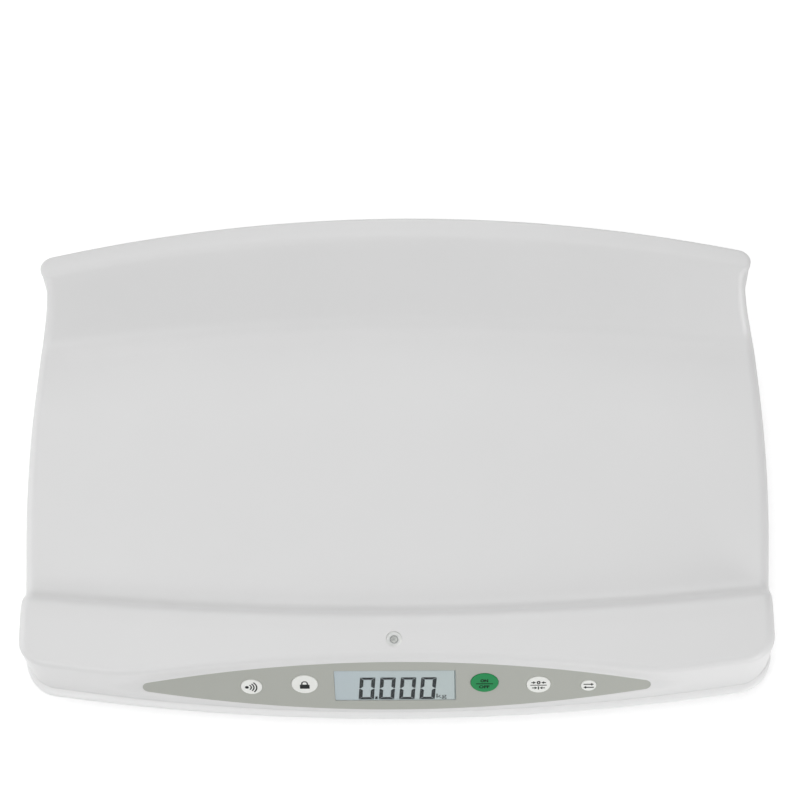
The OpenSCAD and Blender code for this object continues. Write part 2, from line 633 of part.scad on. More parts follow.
// film, window and display
module control_film() {
    color("darkgray") pad_frame() translate([0, 0, -film_t]) difference() {
        linear_extrude(film_t) film_shape();
        window_plate(window, -past, film_t + 2 * past);
        for (k = KEYS) translate([k[0], k[1], -past])
            cylinder(r = k[2] + key_gap, h = film_t + 2 * past, $fn = 64);
    }
}
window_gap = 0.15;
window_sink = 0.1;
module display_window() {
    color("lightblue", 0.4) pad_frame()
        window_plate(window - 2 * [window_gap, window_gap], -film_t - window_t,
            window_t + film_t - window_sink);
}
// two sheets of glass: the rear one is shorter, which leaves a ledge for the contact strips
glass = [92, 36];
glass_t = 1.1;
glass_low = -5;
glass_ledge = 2;
module display_glass() {
    color("lightsteelblue") pad_frame() translate([window_at[0], window_at[1], glass_low]) {
        translate([-glass[0] / 2, -glass[1] / 2, glass_t]) cube([glass[0], glass[1], glass_t]);
        translate([-glass[0] / 2, glass_ledge - glass[1] / 2, 0])
            cube([glass[0], glass[1] - 2 * glass_ledge, glass_t]);
    }
}
frame_size = [98, 43];
frame_corner = 2;
frame_top = -2.7;
frame_gap = 0.1;
module display_frame() {
    hole = glass + 2 * [frame_gap, frame_gap];
    color("white") pad_frame() translate([window_at[0], window_at[1], board_d]) difference() {
        rounded_plate(frame_size, frame_corner, frame_top - board_d);
        translate([-hole[0] / 2, -hole[1] / 2, -past]) cube([hole[0], hole[1], 10]);
    }
}
strip = [82, 2.4];
strip_y = 14;
module display_strips() {
    color("dimgray") pad_frame() for (sy = [-1, 1])
        translate([window_at[0] - strip[0] / 2, window_at[1] + sy * strip_y - strip[1] / 2, board_d])
            cube([strip[0], strip[1], glass_low - board_d]);
}

// circuit board behind the display, with its parts on the back
board = [[-125, -18], [158, 20]];
board_hole_r = 1.3;
board_back = board_d - board_t;
module control_board() {
    size = board[1] - board[0];
    color("seagreen") pad_frame() difference() {
        translate([board[0][0], board[0][1], board_back]) cube([size[0], size[1], board_t]);
        at_points(board_posts, board_back - past)
            cylinder(r = board_hole_r, h = board_t + 2 * past, $fn = 16);
    }
}
chip = [14, 14, 1.4];
amplifier = [8, 6, 1.2];
capacitor = [3.2, 7];
plug = [10, 5, 5];
plug_y = -16;
sensor_plugs = [for (n = [0:3]) -105 + 13 * n];
battery_plug = 7;
module board_parts() {
    color("black") pad_frame() {
        translate([-10, -6, board_back - chip[2]]) cube(chip);
        translate([30, -8, board_back - amplifier[2]]) cube(amplifier);
        translate([-36, 6, board_back - capacitor[1]])
            cylinder(r = capacitor[0], h = capacitor[1], $fn = 24);
        for (x = concat(sensor_plugs, [battery_plug]))
            translate([x - plug[0] / 2, plug_y, board_back - plug[2]]) cube(plug);
    }
}
buzzer_at = [86, 4];
buzzer_size = [7, 6];
sound_hole_r = 1;
module buzzer() {
    color("black") pad_frame()
        translate([buzzer_at[0], buzzer_at[1], board_back - buzzer_size[1]]) difference() {
            cylinder(r = buzzer_size[0], h = buzzer_size[1], $fn = 40);
            translate([0, 0, -past]) cylinder(r = sound_hole_r, h = 3, $fn = 16);
        }
}
dome = [3.4, 1.6, 1.1];
module key_domes() {
    color("silver") pad_frame() at_points(KEYS, board_d)
        cylinder(r1 = dome[0], r2 = dome[1], h = dome[2], $fn = 32);
}
board_head = [2.2, 1.5];
board_shank = [1, 4];
module board_screws() {
    color("silver") pad_frame() at_points(board_posts, board_back - board_head[1]) {
        cylinder(r = board_head[0], h = board_head[1], $fn = 24);
        cylinder(r = board_shank[0], h = board_head[1] + board_t + board_shank[1], $fn = 16);
    }
}

// key: a cap that stands a little proud of the film, a flange behind the housing and a stem
key_proud = 0.6;
key_edge = [0.5, 0.3];
key_flange = [1, -3.7, -2.7];
key_stem = [2, -5.7];
module key_cap(k, tone) {
    shoulder = key_proud - key_edge[1];
    color(tone) pad_frame() translate([k[0], k[1], 0]) {
        translate([0, 0, key_flange[2]]) cylinder(r = k[2], h = shoulder - key_flange[2], $fn = 64);
        translate([0, 0, shoulder])
            cylinder(r1 = k[2], r2 = k[2] - key_edge[0], h = key_edge[1], $fn = 64);
        translate([0, 0, key_flange[1]])
            cylinder(r = k[2] + key_flange[0], h = key_flange[2] - key_flange[1], $fn = 64);
        translate([0, 0, key_stem[1]])
            cylinder(r = key_stem[0], h = key_flange[1] - key_stem[1], $fn = 32);
    }
}

// level vial let into the crest
vial_sink = 1.6;
vial_top = crest_z - vial_sink;
vial_low = vial_top - 9.4;
vial_bore = 4.9;
vial_floor = 1.4;
vial_flange = [7.6, 1.4];
cap_t = 1.2;
bubble_r = 1.9;
module vial_cup() {
    color("white") translate([vial_at[0], vial_at[1], 0]) difference() {
        union() {
            translate([0, 0, vial_low]) cylinder(r = vial_r - 0.1, h = vial_top - vial_low, $fn = 48);
            translate([0, 0, crest_z - wall - vial_flange[1] - 0.1])
                cylinder(r = vial_flange[0], h = vial_flange[1], $fn = 48);
        }
        translate([0, 0, vial_low + vial_floor]) cylinder(r = vial_bore, h = 20, $fn = 48);
    }
}
module vial_liquid() {
    low = vial_low + vial_floor;
    color("palegreen", 0.6) translate([vial_at[0], vial_at[1], 0]) difference() {
        translate([0, 0, low]) cylinder(r = vial_bore, h = vial_top - cap_t - low, $fn = 48);
        translate([0, 0, vial_top - cap_t / 2]) sphere(r = bubble_r, $fn = 24);
    }
}
module vial_cap() {
    color("lightblue", 0.4) translate([vial_at[0], vial_at[1], vial_top - cap_t])
        cylinder(r = vial_bore, h = cap_t, $fn = 48);
}

// leads inside the housing: from each load cell and from the battery box to a plug on the board
lead_r = 0.75;
LEAD_SIDES = 6;
LEAD_STEPS = 4;
lead_z = cell_low + cell_t / 2;
low_z = 18.7;
function smooth_route(p) = let(n = len(p) - 1) concat([p[0]],
    [for (k = [1:n - 1], s = [1:LEAD_STEPS])
        rounded(mix(p[k - 1], p[k], 0.5), p[k], mix(p[k], p[k + 1], 0.5), s / LEAD_STEPS)],
    [p[n]]);
// the end of a route at the plug at x: its mouth faces away from the board
plug_lead = 8;
function plug_end(x) = let(y = plug_y + plug[1] / 2, d = board_back - plug[2])
    [from_pad([x, y, d - plug_lead]), from_pad([x, y, d])];
cell_edge = FEET[1][0] - cell[0] / 2;
FRONT_LEFT = [[-cell_edge, -118, lead_z], [-190, -118, lead_z], [-165, -120, lead_z],
    [-130, -132, 24], [-105, -143, low_z]];
REAR_LEFT = [[-cell_edge, 92, lead_z], [-190, 92, lead_z], [-155, 84, lead_z],
    [-150, 60, lead_z], [-150, -80, lead_z], [-142, -112, lead_z], [-100, -130, 22],
    [-92, -143, low_z]];
REAR_RIGHT = [[cell_edge, 92, lead_z], [190, 92, lead_z], [155, 84, lead_z], [150, 60, lead_z],
    [150, -80, lead_z], [142, -112, lead_z], [110, -124, lead_z], [-50, -126, lead_z],
    [-76, -132, 22], [-79, -143, low_z]];
FRONT_RIGHT = [[cell_edge, -118, lead_z], [190, -118, lead_z], [170, -126, lead_z],
    [140, -132, lead_z], [-40, -134, lead_z], [-62, -138, 21], [-66, -145, low_z]];
SENSOR_ROUTES = [FRONT_LEFT, REAR_LEFT, REAR_RIGHT, FRONT_RIGHT];
module lead(start, x) {
    route = concat(start, plug_end(x));
    n = len(route) - 1;
    heads = [unit(route[1] - route[0]), unit(route[n] - route[n - 1])];
    tube(smooth_route(route), heads, lead_r, LEAD_SIDES);
}
module sensor_leads() {
    color("dimgray") for (n = [0:3]) lead(SENSOR_ROUTES[n], sensor_plugs[n]);
}
battery_lead_z = 20.5;
battery_lead_x = [-2.5, 2.5];
module battery_leads() {
    face = bay_y - bay[1] / 2 - bay_wall;
    color("dimgray") for (dx = battery_lead_x) let(x = battery_plug + dx)
        lead([[x, face, battery_lead_z], [x, -30, battery_lead_z], [x, -60, low_z],
            [x, -142, low_z]], x);
}

KEY_TONES = ["white", "white", "seagreen", "white", "white"];
tray_shell();
base_pan();
control_film();
display_window();
display_glass();
display_frame();
display_strips();
control_board();
board_parts();
key_domes();
buzzer();
vial_cup();
vial_liquid();
vial_cap();
battery_box();
battery_cells();
contact_springs();
contact_plates();
battery_door();
case_screws();
cell_screws();
board_screws();
sensor_leads();
battery_leads();
for (n = [0:len(KEYS) - 1])
    key_cap(KEYS[n], KEY_TONES[n]);
for (n = [0:len(FEET) - 1]) translate([FEET[n][0], FEET[n][1], 0]) {
    load_cell();
    cell_carrier();
    cell_nut();
    foot_screw();
    foot_sole();
}
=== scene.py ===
"""Digital baby weighing scale: fine forms, finishes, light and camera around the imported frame.

Sizes and places are in millimetres in the object's own frame; bare(), bump() and camera() turn them
into metres. Lamps and texture coordinates are in metres.
"""

import json
import math

import bpy
import numpy as np
from mathutils import Matrix, Vector


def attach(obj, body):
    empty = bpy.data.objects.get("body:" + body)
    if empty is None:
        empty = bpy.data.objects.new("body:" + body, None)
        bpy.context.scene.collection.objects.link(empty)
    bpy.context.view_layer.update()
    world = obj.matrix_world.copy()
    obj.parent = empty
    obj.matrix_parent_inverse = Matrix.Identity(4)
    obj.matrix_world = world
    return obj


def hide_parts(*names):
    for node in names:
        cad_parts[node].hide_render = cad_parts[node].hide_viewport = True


MM = 0.001
SQUARE = [(-1, -1), (1, -1), (1, 1), (-1, 1)]
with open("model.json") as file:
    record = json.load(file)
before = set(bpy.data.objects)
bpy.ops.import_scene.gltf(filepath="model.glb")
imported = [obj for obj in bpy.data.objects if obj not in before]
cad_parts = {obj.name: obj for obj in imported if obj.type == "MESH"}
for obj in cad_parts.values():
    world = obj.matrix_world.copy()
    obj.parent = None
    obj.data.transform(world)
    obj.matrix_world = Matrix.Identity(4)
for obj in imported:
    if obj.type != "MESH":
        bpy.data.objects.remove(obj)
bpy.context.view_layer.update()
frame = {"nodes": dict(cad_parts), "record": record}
scene = bpy.context.scene


# ---------------------------------------------------------------- numbers
def sag(x, radius):
    """Depth of an arc of that radius at the distance x from its middle."""
    return x * x / (2 * radius)


def mix(a, b, t):
    return a + (b - a) * t


def ease(a, b, x):
    t = np.clip((x - a) / (b - a), 0, 1)
    return t * t * (3 - 2 * t)


def soft_max(a, b, k):
    return (a + b + np.sqrt((a - b) ** 2 + k * k)) / 2


def unit(v):
    return v / np.linalg.norm(v, axis=-1, keepdims=True)


def pair(y, z):
    return np.stack(np.broadcast_arrays(np.asarray(y, float), z), -1)


def rounded(a, b, c, t):
    """Point at t on the curve that rounds the corner b between a and c."""
    return mix(mix(a, b, t), mix(b, c, t), t)


def spread(parts):
    """Positions along a polyline whose side n is split into parts[n]."""
    return np.array([n + k / p for n, p in enumerate(parts) for k in range(p)] + [len(parts)])


def soft_weights(soft, at):
    """Weights of a polyline's corners for the points at the given positions.

    Corner n is rounded over the share soft[n] of its two sides."""
    last = len(soft) - 1
    rows = np.zeros((len(at), last + 1))
    for row, u in zip(rows, at):
        n = int(round(u))
        s, d = soft[n], u - n
        if 0 < n < last and abs(d) < s:
            t = (d + s) / (2 * s)
            row[n - 1] = s * (1 - t) ** 2
            row[n + 1] = s * t**2
            row[n] = 1 - row[n - 1] - row[n + 1]
        else:
            n = min(int(u), last - 1)
            row[n], row[n + 1] = 1 - (u - n), u - n
    return rows


# ---------------------------------------------------------------- housing form
RIDGE_HALF, TRAY_HALF, RIM_HALF, RIM_FLARE, SKIRT_FLARE = 277.0, 280.8, 269.0, 1.0, 1.5
CREST_Z, FLOOR_Z, RIM_Z, RIM_ARCH, PART_Z, WALL = 70.0, 50.0, 107.0, 6.0, 15.0, 2.6
PAD_TILT, PAD_Y, PAD_Z = math.radians(61.3), -164.4, 41.1
FILM_HALF_H, FILM_R, FILM_HALF_W = 26.35, 792.0, 187.0
RIDGE_LEAN, CREST_ROUND = 5.0, 5.2
FOOT_ROUND, RIM_CORNER_ROUND, RIM_ROUND, SIDE_ROUND = 12.0, 5.5, 4.0, 8.0
FRONT_CORNER, REAR_CORNER, BASE_CORNER = 13.0, 6.0, 24.0


def foot_line(x):
    return -178.5 + sag(x, 1690)


def crest_rear_line(x):
    return -118 + sag(x, 2600)


def floor_line(x):
    return -106.5 + sag(x, 2600)


def wall_line(x):
    return 117.7 - sag(x, 2005)


def rim_line(x):
    return 166 - sag(x, 1416)


def edge_line(x):
    return 183 - sag(x, 1295)


def rim_height(x):
    return RIM_Z - RIM_ARCH * (x / 257) ** 2


def crest_front_line(x):
    return soft_max(-149.6 - sag(x, 1400), foot_line(x) + RIDGE_LEAN, 4)


def pad_edge(x, side):
    """Upper (side 1) or lower (side -1) edge of the sloped pad.

    It leaves the pad's plane past the film's tips."""
    s = side * (soft_max(FILM_HALF_H - sag(x, FILM_R), 4, 2) + 1)
    on = pair(PAD_Y + s * math.cos(PAD_TILT), PAD_Z + s * math.sin(PAD_TILT))
    share = (on[..., 1] - PART_Z) / (CREST_Z - PART_Z)
    wall = pair(foot_line(x) + RIDGE_LEAN * share, on[..., 1])
    return mix(wall, on, (1 - ease(FILM_HALF_W, FILM_HALF_W + 30, np.abs(x)))[..., None])


def crest_start(x):
    return pair(crest_front_line(x) + CREST_ROUND, CREST_Z)


def side_bow(y):
    """Inset of the side outline along the tray."""
    return ((y + 3) / 46) ** 2


def side_half(y):
    return TRAY_HALF - side_bow(y) - 6 * ease(95, 135, y)


def rows_at(x):
    """The guide rows of the top surface at x, from the front of the crest to the rear rim."""
    e = crest_start(x)
    back = pair(crest_rear_line(x) - 9, CREST_Z)
    slope = pair(crest_rear_line(x) + 1.5, CREST_Z - 2.2)
    middle = pair((crest_rear_line(x) + floor_line(x)) / 2, (CREST_Z + FLOOR_Z) / 2)
    low = pair(floor_line(x) - 1.5, FLOOR_Z + 2.2)
    f0 = pair(floor_line(x) + 10, FLOOR_Z)
    w, r = pair(wall_line(x), FLOOR_Z), pair(rim_line(x), rim_height(x))
    up = unit(r - w)
    w0, w1, r0 = w - (FOOT_ROUND, 0), w + FOOT_ROUND * up, r - RIM_CORNER_ROUND * up
    r1 = r + (RIM_CORNER_ROUND, 0)
    edge = pair(edge_line(x) - RIM_ROUND, rim_height(x))
    rows = [e, mix(e, back, 0.3), mix(e, back, 0.65), back, slope, middle, low, f0]
    rows += [mix(f0, w0, 0.25), mix(f0, w0, 0.5), mix(f0, w0, 0.75), w0]
    rows += [rounded(w0, w, w1, 1 / 3), rounded(w0, w, w1, 2 / 3), w1, mix(w1, r0, 0.5)]
    rows += [r0, rounded(r0, r, r1, 0.5), r1, edge]
    return np.stack(rows, -2)


GUIDES = 20
ROW_PARTS = [6, 6, 5, 4, 4, 4, 4, 6, 6, 6, 6, 4, 4, 4, 6, 6, 4, 4, 4]
ROW_AT = spread(ROW_PARTS)
ROW_WEIGHTS = soft_weights([0] + [0.5] * (GUIDES - 2) + [0], ROW_AT)
END_STEPS, MEAN_HALF = [0, 1, 2, 3.2, 4.6, 6.2, 8, 10, 12.5, 15.5, 19, 23, 27.5, 32], 272
EVEN_COLUMNS = 110
SIZING_X = 250.0  # place across the width where each row's half width is read off


def columns():
    """Positions across the width, from -1 to 1, closer together at the side edges."""
    ends = [s / MEAN_HALF for s in END_STEPS]
    inner = np.linspace(-1 + ends[-1], 1 - ends[-1], EVEN_COLUMNS + 2)[1:-1]
    return np.concatenate([np.array(ends) - 1, inner, 1 - np.array(ends[::-1])])


def row_sizes():
    """Outer half width and edge radius of each fine row."""
    y = rows_at(np.array([SIZING_X]))[0, :, 0]
    half = [RIDGE_HALF] * 4 + [mix(RIDGE_HALF, side_half(y[j]), (j - 3) / 4) for j in (4, 5, 6)]
    half += [side_half(y[j]) for j in range(7, 17)] + [RIM_HALF + n * RIM_FLARE for n in range(3)]
    edge = [SIDE_ROUND] * 16 + [6] + [RIM_ROUND] * 3
    return ROW_WEIGHTS @ np.array(half), ROW_WEIGHTS @ np.array(edge, float)


def corner_pull(a, b):
    """A square corner region drawn onto a quarter disc."""
    return a * np.sqrt(np.maximum(1 - b * b / 2, 0)), b * np.sqrt(np.maximum(1 - a * a / 2, 0))


def top_row(weights, half, across):
    """Points of one row of the top surface, and the heading of the edge there.

    The heading is 0 at the front, 180 at the rear and not a number away from the corners."""
    x = across * half
    rows = rows_at(x)
    p = np.einsum("k,nkd->nd", weights, rows)
    front, rear = rows[:, 0, 0], rows[:, -1, 0]
    ahead = p[:, 0] < (front + rear) / 2
    r = np.where(ahead, FRONT_CORNER, REAR_CORNER)
    a = (np.abs(x) - (half - r)) / r
    b = np.where(ahead, front + r - p[:, 0], p[:, 0] - (rear - r)) / r
    at_corner = (a > 0) & (b > 0)
    qa, qb = corner_pull(np.clip(a, 0, 1), np.clip(b, 0, 1))
    px = np.where(at_corner, np.sign(x) * (half - r + qa * r), x)
    py = np.where(at_corner, np.where(ahead, front + r - qb * r, rear - r + qb * r), p[:, 0])
    turn = np.degrees(np.arctan2(qa, np.maximum(qb, 1e-9)))
    heading = np.where(at_corner, np.where(ahead, turn, 180 - turn), np.nan)
    return np.stack([px, py, p[:, 1]], -1), heading


BAND_AT = spread([4, 4, 4, 5, 8, 7])
ARC = BAND_AT[BAND_AT <= 3] / 3
LOWER = soft_weights([0, 0.12, 0.12, 0], BAND_AT[BAND_AT > 3] - 3)


def bezier(points, t):
    """Curve through the first and last of three or four points."""
    while len(points) > 1:
        points = [mix(p, q, t[:, None]) for p, q in zip(points, points[1:])]
    return points[0]


def front_profile(x, half):
    """Offsets and heights of the front wall below the crest at x."""
    x = np.sign(x) * min(abs(x), half - FRONT_CORNER)
    start, corner = crest_start(x), pair(crest_front_line(x), CREST_Z)
    top, low, foot = pad_edge(np.array(x), 1), pad_edge(np.array(x), -1), pair(foot_line(x), PART_Z)
    stop = corner + min(CREST_ROUND, np.linalg.norm(top - corner) - 0.6) * unit(top - corner)
    lower = LOWER @ np.stack([stop, top, low, foot])
    line = np.concatenate([bezier([start, corner, stop], ARC), lower])
    return np.stack([start[0] - line[:, 0], line[:, 1]], -1)


def side_profile(r, z):
    turn = ARC * math.pi / 2
    curl = pair(r * np.sin(turn), z - r * (1 - np.cos(turn)))
    low = z - r
    wall = [[r + SKIRT_FLARE * t, mix(low, PART_Z, t)] for t in (0, 1 / 3, 2 / 3, 1)]
    return np.concatenate([curl, LOWER @ np.array(wall)])


def rear_profile(z):
    """The flange behind the rim: it curls under, and the rear wall drops from its inner edge."""
    lip = [np.array(p) for p in ([0, z], [4.6, z], [5.2, z - 6], [1.4, z - 7])]
    under = [[1.4, z - 7], [-6, z - 8.6], [-9, z - 14], [-9, PART_Z]]
    return np.concatenate([bezier(lip, ARC), LOWER @ np.array(under)])


def base_rear_line(x):
    return 150 - sag(x, 1500)


def base_point(across, y, last):
    """Foot of the skirt behind the middle of the tray, where it leans in towards the base."""
    if not last and y > 100:
        y = 100 + (y - 100) * (base_rear_line(RIDGE_HALF) - 100) / (edge_line(RIDGE_HALF) - 100)
    half = TRAY_HALF + SKIRT_FLARE - side_bow(120 if last else y)
    x = across * half
    rear = base_rear_line(x)
    y = rear if last else y
    a, b = (abs(x) - (half - BASE_CORNER)) / BASE_CORNER, (y - (rear - BASE_CORNER)) / BASE_CORNER
    if a > 0 and b > 0:
        qa, qb = corner_pull(min(a, 1), min(b, 1))
        corner_x = half - BASE_CORNER + qa * BASE_CORNER
        return np.array([math.copysign(corner_x, x), rear - BASE_CORNER + qb * BASE_CORNER, PART_Z])
    return np.array([x, y, PART_Z])


def band_line(p, heading, across, row_at, half, edge_r, last):
    """The wall below one boundary point of the top surface, down to the parting line."""
    wf = math.cos(math.radians(heading)) ** 2 if heading < 90 else 0
    hook = 0.35 * min(max(row_at - 16, 0), 1)
    wr = hook if heading == 90 else 0
    if heading > 90:
        wr = max(math.cos(math.radians(heading)) ** 2, 0.35)
    line = (1 - wf - wr) * side_profile(edge_r, p[2]) + wr * rear_profile(p[2])
    if wf:
        line = line + wf * front_profile(p[0], half)
    sx = -1 if p[0] < 0 else 1
    out = (sx * math.sin(math.radians(heading)), -math.cos(math.radians(heading)))
    own = np.stack([p[0] + out[0] * line[:, 0], p[1] + out[1] * line[:, 0], line[:, 1]], -1)
    if heading > 90 or (heading == 90 and p[1] > 0):
        lower = BAND_AT > 3
        share = ((BAND_AT[lower] - 3) / 3)[:, None]
        foot = base_point(across, p[1], last)
        start = own[len(ARC) - 1]
        straight = mix(start, foot, share)
        keep = wr * (1 - ease(0.66, 1, share))
        own[lower] = mix(straight, own[lower], keep)
    return own


def housing_skin():
    """The housing's outer skin, from the tray down to the parting line.

    It gives points, faces, the numbers and places of the lowest loop, and how far each of its points
    faces front."""
    across = columns()
    halves, edges = row_sizes()
    halves = halves - edges
    rows = [top_row(w, h, across) for w, h in zip(ROW_WEIGHTS, halves)]
    grid = np.stack([r[0] for r in rows], 1)
    turn = np.stack([r[1] for r in rows], 1)
    nc, nr = grid.shape[:2]
    loop = [(i, 0) for i in range(nc - 1)] + [(nc - 1, j) for j in range(nr - 1)]
    loop += [(i, nr - 1) for i in range(nc - 1, 0, -1)] + [(0, j) for j in range(nr - 1, 0, -1)]
    lines, shares = [], []
    for i, j in loop:
        heading = turn[i, j]
        if np.isnan(heading):
            heading = 0 if j == 0 else 180 if j == nr - 1 else 90
        last = j == nr - 1
        lines.append(band_line(grid[i, j], heading, across[i], ROW_AT[j], halves[j], edges[j], last))
        shares.append(math.cos(math.radians(heading)) ** 2 if heading < 90 else 0)
    band = np.array(lines)
    faces = [(i * nr + j, (i + 1) * nr + j, (i + 1) * nr + j + 1, i * nr + j + 1)
             for i in range(nc - 1) for j in range(nr - 1)]
    depth, size = band.shape[1], nc * nr

    def index(m, k):
        m %= len(loop)
        return loop[m][0] * nr + loop[m][1] if k == 0 else size + m * (depth - 1) + k - 1

    for m in range(len(loop)):
        for k in range(depth - 1):
            faces.append((index(m, k), index(m, k + 1), index(m + 1, k + 1), index(m + 1, k)))
    points = np.concatenate([grid.reshape(-1, 3), band[:, 1:].reshape(-1, 3)])
    rim = [index(m, depth - 1) for m in range(len(loop))]
    return points, faces, rim, band[:, -1, :2], np.array(shares)


# ---------------------------------------------------------------- pieces
def bare(name, points, faces, at=Matrix.Identity(4)):
    """A new mesh object from points in millimetres in the frame at."""
    m = np.array(at)
    points = np.asarray(points, float) @ m[:3, :3].T + m[:3, 3]
    data = bpy.data.meshes.new(name)
    data.from_pydata([tuple(p) for p in points * MM], [], [tuple(f) for f in faces])
    data.update()
    obj = bpy.data.objects.new(name, data)
    scene.collection.objects.link(obj)
    return obj


def dress(obj, body, material, sharp=32):
    """Smooth shading up to that angle, the material and the body that the piece rides on."""
    obj.data.shade_smooth()
    obj.data.set_sharp_from_angle(angle=math.radians(sharp))
    obj.data.materials.clear()
    obj.data.materials.append(material)
    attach(obj, body)


def finish_piece(obj, body, slot, sharp=32):
    """The same with the finish of one of the record's material slots."""
    dress(obj, body, FINISHES[slot], sharp)


def combine(obj, other, operation):
    """The solid obj after a union or difference with other, which is used up."""
    modifier = obj.modifiers.new(operation, "BOOLEAN")
    modifier.operation = operation
    modifier.solver = "EXACT"
    modifier.object = other
    bpy.context.view_layer.update()
    result = bpy.data.meshes.new_from_object(obj.evaluated_get(bpy.context.evaluated_depsgraph_get()))
    obj.modifiers.clear()
    old, obj.data = obj.data, result
    bpy.data.meshes.remove(old)
    bpy.data.objects.remove(other)
    return obj


def merge(parts):
    """Several (points, faces) as one."""
    points, faces, start = [], [], 0
    for p, f in parts:
        points.append(np.asarray(p, float))
        faces += [tuple(start + n for n in face) for face in f]
        start += len(p)
    return np.concatenate(points), faces


def prism(outline, low, high):
    """A straight solid over an anticlockwise outline."""
    n = len(outline)
    points = [(x, y, low) for x, y in outline] + [(x, y, high) for x, y in outline]
    sides = [(k, (k + 1) % n, (k + 1) % n + n, k + n) for k in range(n)]
    return points, [tuple(range(n - 1, -1, -1)), tuple(range(n, 2 * n))] + sides


def arc(radius, start, stop, steps, centre=(0, 0)):
    turn = np.radians(np.linspace(start, stop, steps + 1))
    return [(centre[0] + radius * math.cos(t), centre[1] + radius * math.sin(t)) for t in turn]


def circle(radius, centre=(0, 0), steps=64):
    return arc(radius, 0, 360 - 360 / steps, steps - 1, centre)


def rounded_box(width, height, radius, centre=(0, 0), steps=8):
    corners = [(1, 1, 0), (-1, 1, 90), (-1, -1, 180), (1, -1, 270)]
    return [p for sx, sy, a in corners for p in arc(radius, a, a + 90, steps,
            (centre[0] + sx * (width / 2 - radius), centre[1] + sy * (height / 2 - radius)))]


def band_outline(radius, width, start, stop, centre=(0, 0), steps=12):
    """A curved stroke of that width."""
    outer = arc(radius + width / 2, start, stop, steps, centre)
    return outer + arc(radius - width / 2, stop, start, steps, centre)


def lathe(profile, steps=64, centre=(0, 0)):
    """A solid of revolution about Z from (radius, height) points that start and end on the axis."""
    inner = profile[1:-1]
    points = [(centre[0], centre[1], profile[0][1]), (centre[0], centre[1], profile[-1][1])]
    for r, h in inner:
        points += [(x, y, h) for x, y in circle(r, centre, steps)]
    faces = []
    for k in range(steps):
        nxt = (k + 1) % steps
        faces.append((0, 2 + nxt, 2 + k))
        for n in range(len(inner) - 1):
            a = 2 + n * steps
            faces.append((a + k, a + nxt, a + steps + nxt, a + steps + k))
        a = 2 + (len(inner) - 1) * steps
        faces.append((1, a + k, a + nxt))
    return points, faces


PAD = Matrix.Translation((0, PAD_Y, PAD_Z)) @ Matrix.Rotation(PAD_TILT, 4, "X")
KEYS = {"key_signal": (-106.6, 0.3, 7.9), "key_hold": (-67.3, 2.8, 9.75), "key_power": (65.1, 3.4, 10.2),
        "key_zero": (104.8, 1.1, 8.8), "key_unit": (141.6, -0.3, 5.7)}
FILM_T, FILM_GAP, KEY_GAP, KEY_PROUD = 0.5, 0.15, 0.25, 0.6
CUTS = (-5, 6)  # reach of a cut through the sloped pad, square to it
WINDOW, WINDOW_AT, WINDOW_T, WINDOW_CORNER, WINDOW_LEDGE = (89.6, 33.4), (-0.7, 0.3), 1.3, 1.2, 0.8
VIAL_AT, VIAL_R, VIAL_TOP = (-0.75, -135.8), 5.85, CREST_Z - 1.6


def film_outline(grow, steps=60, tip_r=5.0, tip_steps=14):
    """Two wide arcs that meet in small round tips."""
    h, r, tip = FILM_HALF_H + grow, FILM_R + grow, tip_r + grow
    rise = r - h
    xc = math.sqrt((r - tip) ** 2 - rise**2)
    a = math.degrees(math.asin(xc / (r - tip)))
    right = arc(tip, -90 + a, 90 - a, tip_steps, (xc, 0))[1:-1]
    left = arc(tip, 90 + a, 270 - a, tip_steps, (-xc, 0))[1:-1]
    lower = arc(r, -90 - a, -90 + a, steps, (0, rise))
    upper = arc(r, 90 - a, 90 + a, steps, (0, -rise))
    return lower + right + upper + left


def tray_housing():
    points, faces, rim, foot, shares = housing_skin()
    skin = bare("skin", points, faces)
    normals = np.zeros(len(points) * 3)
    skin.data.vertices.foreach_get("normal", normals)
    inner = points - WALL * normals.reshape(-1, 3)
    inner[rim, 2] = PART_Z
    bpy.data.objects.remove(skin)
    n = len(points)
    faces += [tuple(v + n for v in reversed(f)) for f in faces]
    faces += [(a, a + n, b + n, b) for a, b in zip(rim, rim[1:] + rim[:1])]
    housing = bare("tray_housing", np.concatenate([points, inner]), faces)
    low, high = CUTS
    recess = bare("cut", *prism(film_outline(FILM_GAP), -FILM_T, high), PAD)
    combine(housing, recess, "DIFFERENCE")
    seat = prism(rounded_box(*WINDOW, WINDOW_CORNER, WINDOW_AT), -FILM_T - WINDOW_T, high)
    combine(housing, bare("cut", *seat, PAD), "DIFFERENCE")
    opening = rounded_box(*(side - 2 * WINDOW_LEDGE for side in WINDOW), WINDOW_CORNER, WINDOW_AT)
    holes = [prism(opening, low, high)]
    holes += [prism(circle(r + KEY_GAP, (x, s)), low, high) for x, s, r in KEYS.values()]
    combine(housing, bare("cut", *merge(holes), PAD), "DIFFERENCE")
    bore = prism(circle(VIAL_R, VIAL_AT), CREST_Z - 10, CREST_Z + 10)
    combine(housing, bare("cut", *bore), "DIFFERENCE")
    finish_piece(housing, "housing", "housing_white")
    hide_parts("tray_shell")
    return foot, shares


# ---------------------------------------------------------------- finishes
def linear(*rgb):
    """sRGB values from 0 to 255 as a linear colour."""
    out = [(v / 255 / 12.92) if v / 255 <= 0.04045 else ((v / 255 + 0.055) / 1.055) ** 2.4 for v in rgb]
    return (*out, 1.0)


